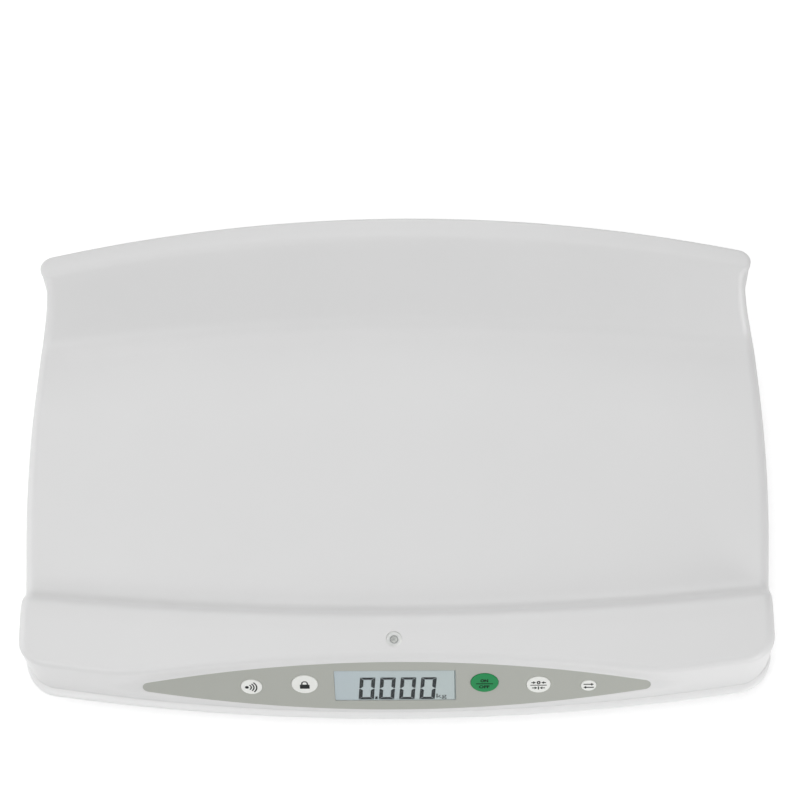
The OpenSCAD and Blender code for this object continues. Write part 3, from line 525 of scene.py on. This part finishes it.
class Finish:
    """A material round one Principled shader, whose varied inputs come from procedural textures."""

    def __init__(self, name, **fixed):
        self.material = bpy.data.materials.new(name)
        self.material.use_nodes = True
        self.nodes, self.links = self.material.node_tree.nodes, self.material.node_tree.links
        self.shader = self.nodes["Principled BSDF"]
        for socket, value in fixed.items():
            self.shader.inputs[socket.replace("_", " ")].default_value = value
        self.place = self.add("ShaderNodeTexCoord").outputs["Object"]

    def add(self, kind, settings=(), **inputs):
        node = self.nodes.new(kind)
        for key, value in dict(settings).items():
            setattr(node, key, value)
        for key, value in inputs.items():
            self.feed(node.inputs[key.replace("_", " ")], value)
        return node

    def feed(self, socket, value):
        if isinstance(value, bpy.types.NodeSocket):
            self.links.new(value, socket)
        else:
            socket.default_value = value

    def noise(self, scale, detail=3.0, stretch=(1, 1, 1)):
        where = self.add("ShaderNodeMapping", Vector=self.place, Scale=stretch).outputs[0]
        return self.add("ShaderNodeTexNoise", Vector=where, Scale=scale, Detail=detail).outputs[0]

    def blend(self, factor, a, b):
        node = self.add("ShaderNodeMix", {"data_type": "RGBA"})
        for n, value in ((0, factor), (6, a), (7, b)):
            self.feed(node.inputs[n], value)
        return node.outputs[2]

    def colour(self, socket):
        self.links.new(socket, self.shader.inputs["Base Color"])

    def rough(self, texture, low, high):
        node = self.add("ShaderNodeMapRange", Value=texture, To_Min=low, To_Max=high)
        self.links.new(node.outputs[0], self.shader.inputs["Roughness"])

    def bump(self, texture, depth_mm, strength=0.5):
        node = self.add("ShaderNodeBump", Height=texture, Distance=depth_mm * MM, Strength=strength)
        self.links.new(node.outputs[0], self.shader.inputs["Normal"])


def shade(rgb, share):
    """The colour made lighter or darker by that share."""
    return (*(min(1.0, c * (1 + share)) for c in rgb[:3]), 1.0)


def moulded(name, rgb, rough, grain=1400, depth=0.012, mottle=0.02, **fixed):
    """Moulded plastic: a fine grain, a faint mottling of the colour and a slightly uneven gloss."""
    f = Finish(name, **fixed)
    base = linear(*rgb)
    f.colour(f.blend(f.noise(9), shade(base, -mottle), shade(base, mottle)))
    f.rough(f.noise(40), rough - 0.05, rough + 0.05)
    f.bump(f.noise(grain), depth)
    return f.material


def metal(name, rgb, rough, stretch):
    """Plated steel with fine drawn lines along one axis."""
    f = Finish(name, Metallic=1.0)
    base = linear(*rgb)
    lines = f.noise(300, 4, stretch)
    f.colour(f.blend(lines, shade(base, -0.12), shade(base, 0.1)))
    f.rough(lines, rough - 0.08, rough + 0.1)
    f.bump(lines, 0.01)
    return f.material


def display_finish():
    """Reflective liquid crystal cell: pale blue-green, with a painted reflection that shifts its tone
    gently along its length and in soft patches.
    """
    f = Finish("display_glass", Coat_Weight=0.4, Coat_Roughness=0.08, IOR=1.5)
    # painted reflection: the cell's colour runs from one tone to another along its length and is broken
    # by soft patches
    along = f.add("ShaderNodeSeparateXYZ", Vector=f.place).outputs[0]
    share = f.add("ShaderNodeMapRange", Value=along, From_Min=-0.045, From_Max=0.045).outputs[0]
    painted_reflection_tone = f.blend(share, linear(182, 195, 203), linear(188, 201, 198))
    f.colour(f.blend(f.noise(60), painted_reflection_tone, linear(181, 194, 196)))
    f.rough(f.noise(500), 0.28, 0.4)
    return f.material


def board_finish():
    """Circuit board: green solder mask with straight copper tracks under it."""
    f = Finish("board_green", Coat_Weight=0.3, IOR=1.5)
    where = f.add("ShaderNodeMapping", Vector=f.place, Scale=(1, 1.2, 1.2)).outputs[0]
    tracks = f.add("ShaderNodeTexBrick", {"offset": 0.35}, Vector=where, Scale=90.0, Mortar_Size=0.03)
    f.colour(f.blend(tracks.outputs["Fac"], linear(22, 92, 48), linear(48, 128, 70)))
    f.rough(f.noise(200), 0.3, 0.45)
    f.bump(tracks.outputs["Fac"], 0.03)
    return f.material


def battery_finish():
    """Printed cell sleeve: a dark body with one plain band at one end."""
    f = Finish("battery_jacket", Coat_Weight=0.5, IOR=1.5)
    along = f.add("ShaderNodeSeparateXYZ", Vector=f.place).outputs[1]
    band = f.add("ShaderNodeMath", {"operation": "GREATER_THAN"})
    f.feed(band.inputs[0], along)
    band.inputs[1].default_value = 0.034
    f.colour(f.blend(band.outputs[0], linear(58, 64, 70), linear(188, 150, 84)))
    f.rough(f.noise(80), 0.25, 0.4)
    f.bump(f.noise(600), 0.01)
    return f.material


def clear(name, rgb, alpha, rough=0.06):
    """Clear plastic: mostly see-through, with its own gloss and a few fine scratches."""
    f = Finish(name, Alpha=alpha, IOR=1.49, Specular_IOR_Level=0.5)
    base = linear(*rgb)
    f.colour(f.blend(f.noise(120), shade(base, -0.03), base))
    f.rough(f.noise(700, 6, (1, 0.08, 0.08)), rough, rough + 0.1)
    return f.material


def film_finish():
    """Fine matte polyester film with a sandy texture."""
    f = Finish("film_grey", IOR=1.5)
    base = linear(176, 178, 171)
    f.colour(f.blend(f.noise(14), shade(base, -0.025), shade(base, 0.02)))
    f.rough(f.noise(900), 0.42, 0.56)
    f.bump(f.noise(2600, 2), 0.02)
    return f.material


FINISHES = {
    "housing_white": moulded("housing_white", (228, 228, 228), 0.36),
    # pan_white is lighter than housing_white: painted light standing in for light bounced up from the
    # white floor onto the pan's lip
    "pan_white": moulded("pan_white", (242, 242, 242), 0.38),
    "film_grey": film_finish(),
    "window_clear": clear("window_clear", (236, 242, 242), 0.025),
    "display_glass": display_finish(),
    "frame_plastic": moulded("frame_plastic", (214, 214, 211), 0.5, 900, 0.02, 0.03),
    "strip_rubber": moulded("strip_rubber", (120, 120, 124), 0.75, 3000, 0.03, 0.2),
    "board_green": board_finish(),
    "chip_black": moulded("chip_black", (40, 40, 42), 0.6, 2500, 0.03, 0.15),
    "steel": metal("steel", (178, 179, 182), 0.3, (1, 12, 12)),
    "vial_plastic": moulded("vial_plastic", (238, 240, 236), 0.3, 800, 0.01, 0.02, Coat_Weight=0.3),
    # the spirit is opaque and near white, lighter than its own tone: painted light that lifts the shade
    # inside the vial's bore
    "vial_liquid": clear("vial_liquid", (250, 252, 248), 1.0),
    "battery_jacket": battery_finish(),
    "key_white": moulded("key_white", (240, 241, 237), 0.36),
    "key_green": moulded("key_green", (6, 136, 74), 0.4, mottle=0.04, Specular_IOR_Level=0.3),
    "carrier_plastic": moulded("carrier_plastic", (52, 52, 55), 0.55, 1500, 0.04, 0.12),
    "knob_plastic": moulded("knob_plastic", (74, 76, 79), 0.5, 1500, 0.04, 0.1),
    "sole_rubber": moulded("sole_rubber", (38, 38, 39), 0.8, 1800, 0.05, 0.2),
    "lead_sleeve": moulded("lead_sleeve", (92, 94, 96), 0.5, 1200, 0.02, 0.08),
}


def print_and_painted_light_finish(name, rgb):
    """Screen-printed ink, also used for painted shadow and painted light: slightly uneven and matt."""
    f = Finish(name, Specular_IOR_Level=0.15)
    base = linear(*rgb)
    f.colour(f.blend(f.noise(900), shade(base, -0.15), shade(base, 0.25)))
    f.rough(f.noise(1500), 0.45, 0.65)
    f.bump(f.noise(2500), 0.006)
    return f.material


INK = print_and_painted_light_finish("key_ink", (34, 36, 36))
GREEN_INK = print_and_painted_light_finish("green_ink", (4, 24, 14))
CRYSTAL_INK = print_and_painted_light_finish("crystal_ink", (12, 20, 24))
# grey ink for a painted shadow along the display window's top and right edges
SHADOW_LINE_INK = print_and_painted_light_finish("painted_shadow_ink", (96, 106, 108))
VIAL_INK = print_and_painted_light_finish("vial_ink", (172, 175, 173))
# near-white ink that paints light over the shaded inside of the vial
VIAL_PAINTED_LIGHT = print_and_painted_light_finish("vial_painted_light", (238, 241, 238))

for row in frame["record"]["subparts"]:
    cad = frame["nodes"][row["node"]]
    cad.data.materials.clear()
    cad.data.materials.append(FINISHES[row["material_slot"]])
    cad.data.shade_smooth()
    cad.data.set_sharp_from_angle(angle=math.radians(30))


# ---------------------------------------------------------------- base pan
PAN_Z, PAN_T = 8.0, 2.4
BEAD_SIDE, BEAD_FRONT, BEAD_ENDS = 2.0, 4.5, 5.7
CASE_SCREWS = [(sx * x, y) for sx in (-1, 1)
               for x, y in ((250, -52), (250, 36), (122, -88), (122, 96))]
FEET = {"front_left": (-225, -118), "front_right": (225, -118),
        "rear_right": (225, 92), "rear_left": (-225, 92)}
BAY, BAY_Y, BAY_DEPTH = (63.0, 59.8), 20.0, 20.0
POST_R, POST_TOP, PAD_R, PAD_RISE = 6.0, 24.0, 12.0, 7.0
SCREW_WELL_R, SCREW_WELL_TOP, SHAFT_R, FOOT_WELL_R, THROUGH = 3.8, 21.0, 1.8, 9.5, 30.0
TONGUE_GAP, TONGUE_T, TONGUE_RISE, TONGUE_FRONT = 0.3, 1.6, 3.0, -2.2
PARTING_GAP = 0.15


def lower_pan(foot, shares):
    """The pan under the housing.

    A bead runs round its edge and a tongue stands inside the skirt. It has wells for screws, feet and
    cells."""
    ahead, behind = np.roll(foot, -1, 0), np.roll(foot, 1, 0)
    along = unit(ahead - behind)
    normal = np.stack([along[:, 1], -along[:, 0]], -1)
    bead = mix(BEAD_SIDE, mix(BEAD_FRONT, BEAD_ENDS, (foot[:, 0] / 255) ** 2), shares)
    tongue = -WALL - TONGUE_GAP
    bead_top = PART_Z - PARTING_GAP
    # share of the bead, offset from the housing's foot, further offset at the front, height
    guides = [(0, -7, 0, PAN_Z), (0, -0.8, 0, PAN_Z), (0.75, 0, 0, PAN_Z + 0.9), (1, 0, 0, PAN_Z + 2.9),
              (0.8, 0, 0, PAN_Z + 5.3), (0.1, 0, 0, bead_top), (0, tongue, TONGUE_FRONT, bead_top),
              (0, tongue, TONGUE_FRONT, PART_Z + TONGUE_RISE),
              (0, tongue - TONGUE_T, TONGUE_FRONT, PART_Z + TONGUE_RISE),
              (0, tongue - TONGUE_T, TONGUE_FRONT, PAN_Z + PAN_T)]
    soft = [0, 0.1, 0.5, 0.5, 0.5, 0.3, 0.02, 0.1, 0.1, 0]
    weights = soft_weights(soft, spread([1, 2, 5, 5, 5, 4, 2, 2, 2]))
    loops = weights @ np.array(guides, float)
    rings = []
    for share, fixed, front, z in loops:
        q = foot + (share * bead + fixed + front * shares)[:, None] * normal
        rings.append(np.column_stack([q, np.full(len(q), z)]))
    n, count = len(foot), len(rings)
    faces = [(k * n + m, k * n + (m + 1) % n, (k + 1) * n + (m + 1) % n, (k + 1) * n + m)
             for k in range(count - 1) for m in range(n)]
    faces += [tuple(range(n - 1, -1, -1)), tuple(range((count - 1) * n, count * n))]
    pan = bare("lower_pan", np.concatenate(rings), faces)
    posts = [prism(circle(POST_R, p, 48), PAN_Z + 1, POST_TOP) for p in CASE_SCREWS]
    posts += [prism(circle(PAD_R, p), PAN_Z + 1, PAN_Z + PAD_RISE) for p in FEET.values()]
    combine(pan, bare("add", *merge(posts)), "UNION")
    bay = [(sx * BAY[0] / 2, BAY_Y + sy * BAY[1] / 2) for sx, sy in SQUARE]
    wells = [prism(circle(SCREW_WELL_R, p, 48), 0, SCREW_WELL_TOP) for p in CASE_SCREWS]
    wells += [prism(circle(FOOT_WELL_R, p), 0, THROUGH) for p in FEET.values()]
    wells += [prism(bay, 0, BAY_DEPTH)]
    combine(pan, bare("cut", *merge(wells)), "DIFFERENCE")
    shafts = [prism(circle(SHAFT_R, p, 32), 0, THROUGH) for p in CASE_SCREWS]
    combine(pan, bare("cut", *merge(shafts)), "DIFFERENCE")
    # the pan's lighter white is painted light for the floor's bounce onto its lip
    finish_piece(pan, "housing", "pan_white")
    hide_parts("base_pan")


# ---------------------------------------------------------------- controls
KEY_STEM, KEY_BRIM, KEY_EDGE = (2, -5.7), (1, -3.7, -2.7), 0.45


def key_cap(name):
    """A cap with a softly rounded edge, its flange behind the housing and its stem."""
    x, s, r = KEYS[name]
    (stem_r, stem_end), (brim, brim_low, brim_high) = KEY_STEM, KEY_BRIM
    curve = arc(KEY_EDGE, 0, 90, 6, (r - KEY_EDGE, KEY_PROUD - KEY_EDGE))
    profile = [(0, stem_end), (stem_r, stem_end), (stem_r, brim_low), (r + brim, brim_low)]
    profile += [(r + brim, brim_high), (r, brim_high)] + curve
    profile += [(r * 0.6, KEY_PROUD), (0, KEY_PROUD)]
    cap = bare(name + "_cap", *lathe(profile, 96, (x, s)), PAD)
    finish_piece(cap, name, "key_green" if name == "key_power" else "key_white", 40)
    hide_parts(name)


MARK_T = 0.04


def letters(text, width, height, x, s, bold=0.0):
    """Plain letters as a flat solid (points, faces) that fills a box centred at x and s."""
    curve = bpy.data.curves.new("letters", "FONT")
    curve.body, curve.offset, curve.extrude, curve.resolution_u = text, bold, 0.5, 4
    obj = bpy.data.objects.new("letters", curve)
    scene.collection.objects.link(obj)
    bpy.context.view_layer.update()
    data = bpy.data.meshes.new_from_object(obj.evaluated_get(bpy.context.evaluated_depsgraph_get()))
    points = np.array([v.co[:] for v in data.vertices])
    faces = [tuple(p.vertices) for p in data.polygons]
    bpy.data.objects.remove(obj)
    bpy.data.meshes.remove(data)
    bpy.data.curves.remove(curve)
    low = points.min(0)
    share = (points - low) / (points.max(0) - low)
    return share * (width, height, MARK_T) + (x - width / 2, s - height / 2, 0), faces


def stroke(x0, s0, x1, s1, width):
    """A straight bar between two points."""
    d = unit(np.array([x1 - x0, s1 - s0])) * width / 2
    side = np.array([-d[1], d[0]])
    a, b = np.array([x0, s0]), np.array([x1, s1])
    return [tuple(a - side), tuple(b - side), tuple(b + side), tuple(a + side)]


def anticlockwise(outline):
    area = sum(x0 * y1 - x1 * y0 for (x0, y0), (x1, y1) in zip(outline, outline[1:] + outline[:1]))
    return outline if area > 0 else outline[::-1]


def flat(outlines):
    return [prism(o, 0, MARK_T) for o in outlines]


ARROW_HEAD = (2.0, 1.5)


def arrow(tail, tip, s, thick):
    """A horizontal arrow from tail to tip at the height s."""
    neck = tip - math.copysign(ARROW_HEAD[0], tip - tail)
    head = [(tip, s), (neck, s + ARROW_HEAD[1]), (neck, s - ARROW_HEAD[1])]
    return [stroke(tail, s, neck, s, thick), anticlockwise(head)]


def wave_mark():
    """Dot and three sound waves."""
    at = (-3.45, -0.2)
    marks = [circle(1.45, at, 24)]
    marks += [band_outline(r, 1.0, -h, h, at) for r, h in ((3.25, 50), (5.2, 47), (7.25, 46))]
    return flat(marks)


def lock_mark():
    """Closed padlock."""
    shackle = arc(2.5, 0, 180, 16, (0, 1.2)) + [(-2.5, -0.2), (-1.5, -0.2)]
    shackle += arc(1.5, 180, 0, 16, (0, 1.2)) + [(1.5, -0.2), (2.5, -0.2)]
    return flat([rounded_box(7.2, 4.6, 0.6, (0, -2.3)), shackle])


def power_mark():
    """ON above OFF."""
    bar = flat([stroke(-6.2, -0.8, 6.2, -0.8, 0.95)])
    words = [letters("ON", 5.8, 3.4, -0.2, 2.5, 0.06), letters("OFF", 7.9, 3.3, -0.2, -4.2, 0.04)]
    return bar + words


def zero_mark():
    """Arrows that meet at a zero, above arrows that meet at a line."""
    marks = [stroke(-6.0, -0.4, 6.0, -0.4, 0.8), stroke(0, -5.1, 0, -1.8, 0.9)]
    for side in (-1, 1):
        marks += arrow(side * 5.4, side * 2.0, 2.5, 0.9) + arrow(side * 4.8, side * 0.8, -3.4, 0.9)
    return flat(marks) + [letters("0", 2.8, 3.7, 0, 2.5, 0.05)]


def swap_mark():
    """Two arrows in opposite directions."""
    return flat([part for side in (-1, 1) for part in arrow(-side * 3.8, side * 3.8, side * 1.7, 1.0)])


def key_prints():
    marks = {"key_signal": wave_mark, "key_hold": lock_mark, "key_power": power_mark,
             "key_zero": zero_mark, "key_unit": swap_mark}
    for name, draw in marks.items():
        at = PAD @ Matrix.Translation((*KEYS[name][:2], KEY_PROUD))
        mark = bare(name + "_print", *merge(draw()), at)
        dress(mark, name, GREEN_INK if name == "key_power" else INK)


DIGIT = {"width": 11.4, "height": 24.4, "stroke": 2.8, "end": 2.5, "gap": 0.22, "pitch": 15.02}
DIGITS_X, DIGITS_S, LEAN = -28.2, -15.6, 0.077
COVER, PANEL, DISPLAY_GAP = (-0.6, -0.1), (-1.75, -0.66), 0.15


def zero_digit(x0):
    """Six lit segments of a zero, its lower left corner at x0."""
    w, h, t, e, g = (DIGIT[k] for k in ("width", "height", "stroke", "end", "gap"))
    half = h / 2
    end = [(g, h), (t + g, h - e), (w - t - g, h - e), (w - g, h)]
    left = [(0, half + 2 * g), (t * 0.4, half + 2 * g), (t, half + t * 0.75), (t, h - e - g),
            (0, h - g)]
    shapes = []
    for flip_x in (False, True):
        for flip_y in (False, True):
            shapes.append([(w - x if flip_x else x, h - y if flip_y else y) for x, y in left])
    shapes += [end, [(x, h - y) for x, y in end]]
    return [anticlockwise([(x0 + x + LEAN * y, y) for x, y in shape]) for shape in shapes]


def display_front():
    """The crystal panel fills the window right behind a thin clear cover.

    It carries the reading 0.000, the unit and a painted shadow: a thin dark line along the top and right
    edges, where the window's edge shades the panel."""
    outline = rounded_box(*(side - 2 * DISPLAY_GAP for side in WINDOW), WINDOW_CORNER, WINDOW_AT)
    for name, reach, slot in (("display_cover", COVER, "window_clear"),
                              ("display_panel", PANEL, "display_glass")):
        plate = bare(name, *prism(outline, *reach), PAD)
        finish_piece(plate, "housing", slot)
        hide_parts("display_window")
    shapes = [s for n in range(4) for s in zero_digit(n * DIGIT["pitch"])]
    shapes.append(anticlockwise([(12.3, 0.2), (14.1, 0.2), (14.3, 3.2), (12.5, 3.2)]))
    parts = flat(shapes) + [letters("kg", 7.6, 6.2, 61.6, 3.0)]
    digits = bare("display_digits", *merge(parts),
                  PAD @ Matrix.Translation((DIGITS_X, DIGITS_S, PANEL[1])))
    dress(digits, "housing", CRYSTAL_INK)
    # painted shadow: a thin dark line along the panel's top and right edges, where the window's edge
    # shades it
    left, right = WINDOW_AT[0] - WINDOW[0] / 2 + 0.8, WINDOW_AT[0] + WINDOW[0] / 2 - 0.8
    low, high = WINDOW_AT[1] - WINDOW[1] / 2 + 1.0, WINDOW_AT[1] + WINDOW[1] / 2 - 0.6
    lines = flat([stroke(left, high, right, high, 0.5), stroke(right, low, right, high - 0.25, 0.5)])
    on_panel = PAD @ Matrix.Translation((0, 0, PANEL[1]))
    shadow_line = bare("display_painted_shadow", *merge(lines), on_panel)
    dress(shadow_line, "housing", SHADOW_LINE_INK)


def flat_ring(inner, outer, steps=48):
    """A flat ring, a little raised."""
    loops = [(inner, 0.0), (outer, 0.0), (outer, MARK_T), (inner, MARK_T)]
    points = [(r * x, r * y, h) for r, h in loops for x, y in circle(1, (0, 0), steps)]
    faces = []
    for a, b in ((0, 1), (1, 2), (2, 3), (3, 0)):
        for k in range(steps):
            nxt = (k + 1) % steps
            faces.append((a * steps + k, a * steps + nxt, b * steps + nxt, b * steps + k))
    return points, faces


CAP_T, VIAL_BORE, VIAL_DEPTH, BUBBLE_R, BUBBLE_DEPTH = 1.2, 4.9, 8.0, 1.9, 1.1


def vial_details():
    """The spirit with its bubble under the cap of the level vial, and the circles on the cap. A
    near-white ring on the cap and the near-white spirit are painted light over the shade inside the
    vial's bore.
    """
    at = Matrix.Translation((*VIAL_AT, VIAL_TOP))
    top = -CAP_T - 0.08
    bubble = [(BUBBLE_R * math.cos(t), top - BUBBLE_DEPTH * math.sin(t)) for t in (0.3, 0.7, 1.1)]
    wall = [(VIAL_BORE - 0.05, -VIAL_DEPTH), (VIAL_BORE - 0.05, top - 0.27), (VIAL_BORE - 0.3, top),
            (BUBBLE_R + 0.2, top)]
    profile = [(0, -VIAL_DEPTH)] + wall + bubble + [(0, top - BUBBLE_DEPTH)]
    spirit = bare("vial_spirit", *lathe(profile), at)
    finish_piece(spirit, "housing", "vial_liquid", 50)
    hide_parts("vial_liquid")
    marks = [flat_ring(2.25, 3.0), prism(circle(0.7, steps=24), 0, MARK_T)]
    dress(bare("vial_circles", *merge(marks), at), "housing", VIAL_INK)
    # painted light: a near-white ring on the cap lightens the spirit where the vial's bore shades it
    dress(bare("vial_painted_light_ring", *flat_ring(3.35, 5.2), at), "housing", VIAL_PAINTED_LIGHT)


foot_loop, front_shares = tray_housing()
lower_pan(foot_loop, front_shares)
for key in KEYS:
    key_cap(key)
key_prints()
display_front()
vial_details()

# ---------------------------------------------------------------- stage, light and camera
CAMERA_AT = (46.2, -516.5, 1687.9)
CAMERA_PAN, CAMERA_ELEVATION, CAMERA_ROLL = (math.radians(a) for a in (4.303, 70.696, 4.566))
FOCAL_SHARE = 2.8364  # focal length over the width of the picture
SENSOR = 36.0


def camera():
    """It stands a little to the right of the middle, turned back to the object and rolled level."""
    data = bpy.data.cameras.new("camera")
    data.sensor_width, data.lens = SENSOR, SENSOR * FOCAL_SHARE
    data.clip_start, data.clip_end = 0.05, 50
    obj = bpy.data.objects.new("camera", data)
    scene.collection.objects.link(obj)
    flat_look = np.array([-math.sin(CAMERA_PAN), math.cos(CAMERA_PAN), 0])
    look = math.cos(CAMERA_ELEVATION) * flat_look - np.array([0, 0, math.sin(CAMERA_ELEVATION)])
    right = np.array([math.cos(CAMERA_PAN), math.sin(CAMERA_PAN), 0])
    up = np.cross(right, look)
    c, s = math.cos(CAMERA_ROLL), math.sin(CAMERA_ROLL)
    axes = np.stack([c * right - s * up, s * right + c * up, -look], 1)
    obj.matrix_world = Matrix.Translation([v * MM for v in CAMERA_AT]) @ Matrix(axes.tolist()).to_4x4()
    scene.camera = obj


def lamp(name, at, target, size, power):
    """A square soft box at a place in metres, facing the target."""
    data = bpy.data.lights.new(name, "AREA")
    data.shape, data.size, data.energy = "SQUARE", size, power
    obj = bpy.data.objects.new(name, data)
    scene.collection.objects.link(obj)
    back = Vector(at) - Vector(target)
    obj.rotation_mode = "QUATERNION"
    obj.rotation_quaternion = back.to_track_quat("Z", "Y")
    obj.location = at


def seen_directly(nodes, links):
    """1 where the camera sees a surface directly, in a reflection or through something clear, else 0."""
    path = nodes.new("ShaderNodeLightPath")
    total = path.outputs["Is Camera Ray"]
    for kind in ("Is Glossy Ray", "Is Transmission Ray"):
        either = nodes.new("ShaderNodeMath")
        either.operation = "MAXIMUM"
        links.new(total, either.inputs[0])
        links.new(path.outputs[kind], either.inputs[1])
        total = either.outputs[0]
    return total


AMBIENT = 0.3
FLOOR_GLOW = 0.38
FLOOR_FADE = (0.6, 1.8)  # metres from the object where the glow starts to rise and is full
FLOOR_HALF = 3000


def white_stage():
    """A pale floor that reads as white to the camera but keeps the object's shadow, and a white surround.

    The glow of the floor rises to full white away from the object, so that low views have no horizon."""
    corners = [(sx * FLOOR_HALF, sy * FLOOR_HALF, 0) for sx, sy in SQUARE]
    floor = bare("floor", corners, [(0, 1, 2, 3)])
    f = Finish("floor_pale", Roughness=0.6)
    f.colour(f.blend(f.noise(3), linear(238, 238, 238), linear(242, 242, 242)))
    f.shader.inputs["Emission Color"].default_value = (1, 1, 1, 1)
    away = f.add("ShaderNodeVectorMath", {"operation": "LENGTH"})
    f.feed(away.inputs[0], f.place)
    level = f.add("ShaderNodeMapRange", {"interpolation_type": "SMOOTHSTEP"}, Value=away.outputs["Value"],
                  From_Min=FLOOR_FADE[0], From_Max=FLOOR_FADE[1], To_Min=FLOOR_GLOW, To_Max=1.0)
    glow = f.add("ShaderNodeMath", {"operation": "MULTIPLY"})
    f.feed(glow.inputs[0], seen_directly(f.nodes, f.links))
    f.feed(glow.inputs[1], level.outputs[0])
    f.links.new(glow.outputs[0], f.shader.inputs["Emission Strength"])
    floor.data.materials.append(f.material)
    world = bpy.data.worlds.new("surround")
    scene.world = world
    world.use_nodes = True
    nodes, links = world.node_tree.nodes, world.node_tree.links
    strength = nodes.new("ShaderNodeMapRange")
    links.new(seen_directly(nodes, links), strength.inputs["Value"])
    strength.inputs["To Min"].default_value = AMBIENT
    strength.inputs["To Max"].default_value = 1.0
    background = nodes["Background"]
    background.inputs["Color"].default_value = (1, 1, 1, 1)
    links.new(strength.outputs[0], background.inputs["Strength"])


LAMP_AIM = (0, -0.03, 0.03)
# place in metres, side in metres, power in watts
LAMPS = {"top": ((0, 0.2, 2.3), 1.5, 8.8), "rear": ((0.2, 1.7, 1.6), 1.4, 13.5),
         "front_left": ((-0.7, -1.0, 1.1), 0.7, 5.2), "front_right": ((0.9, -0.9, 0.35), 0.6, 4.4),
         "left": ((-1.15, 0, 0.32), 0.8, 2.8)}
camera()
white_stage()
for name, (at, size, power) in LAMPS.items():
    lamp(name, at, LAMP_AIM, size, power)
scene.view_settings.view_transform = "Standard"
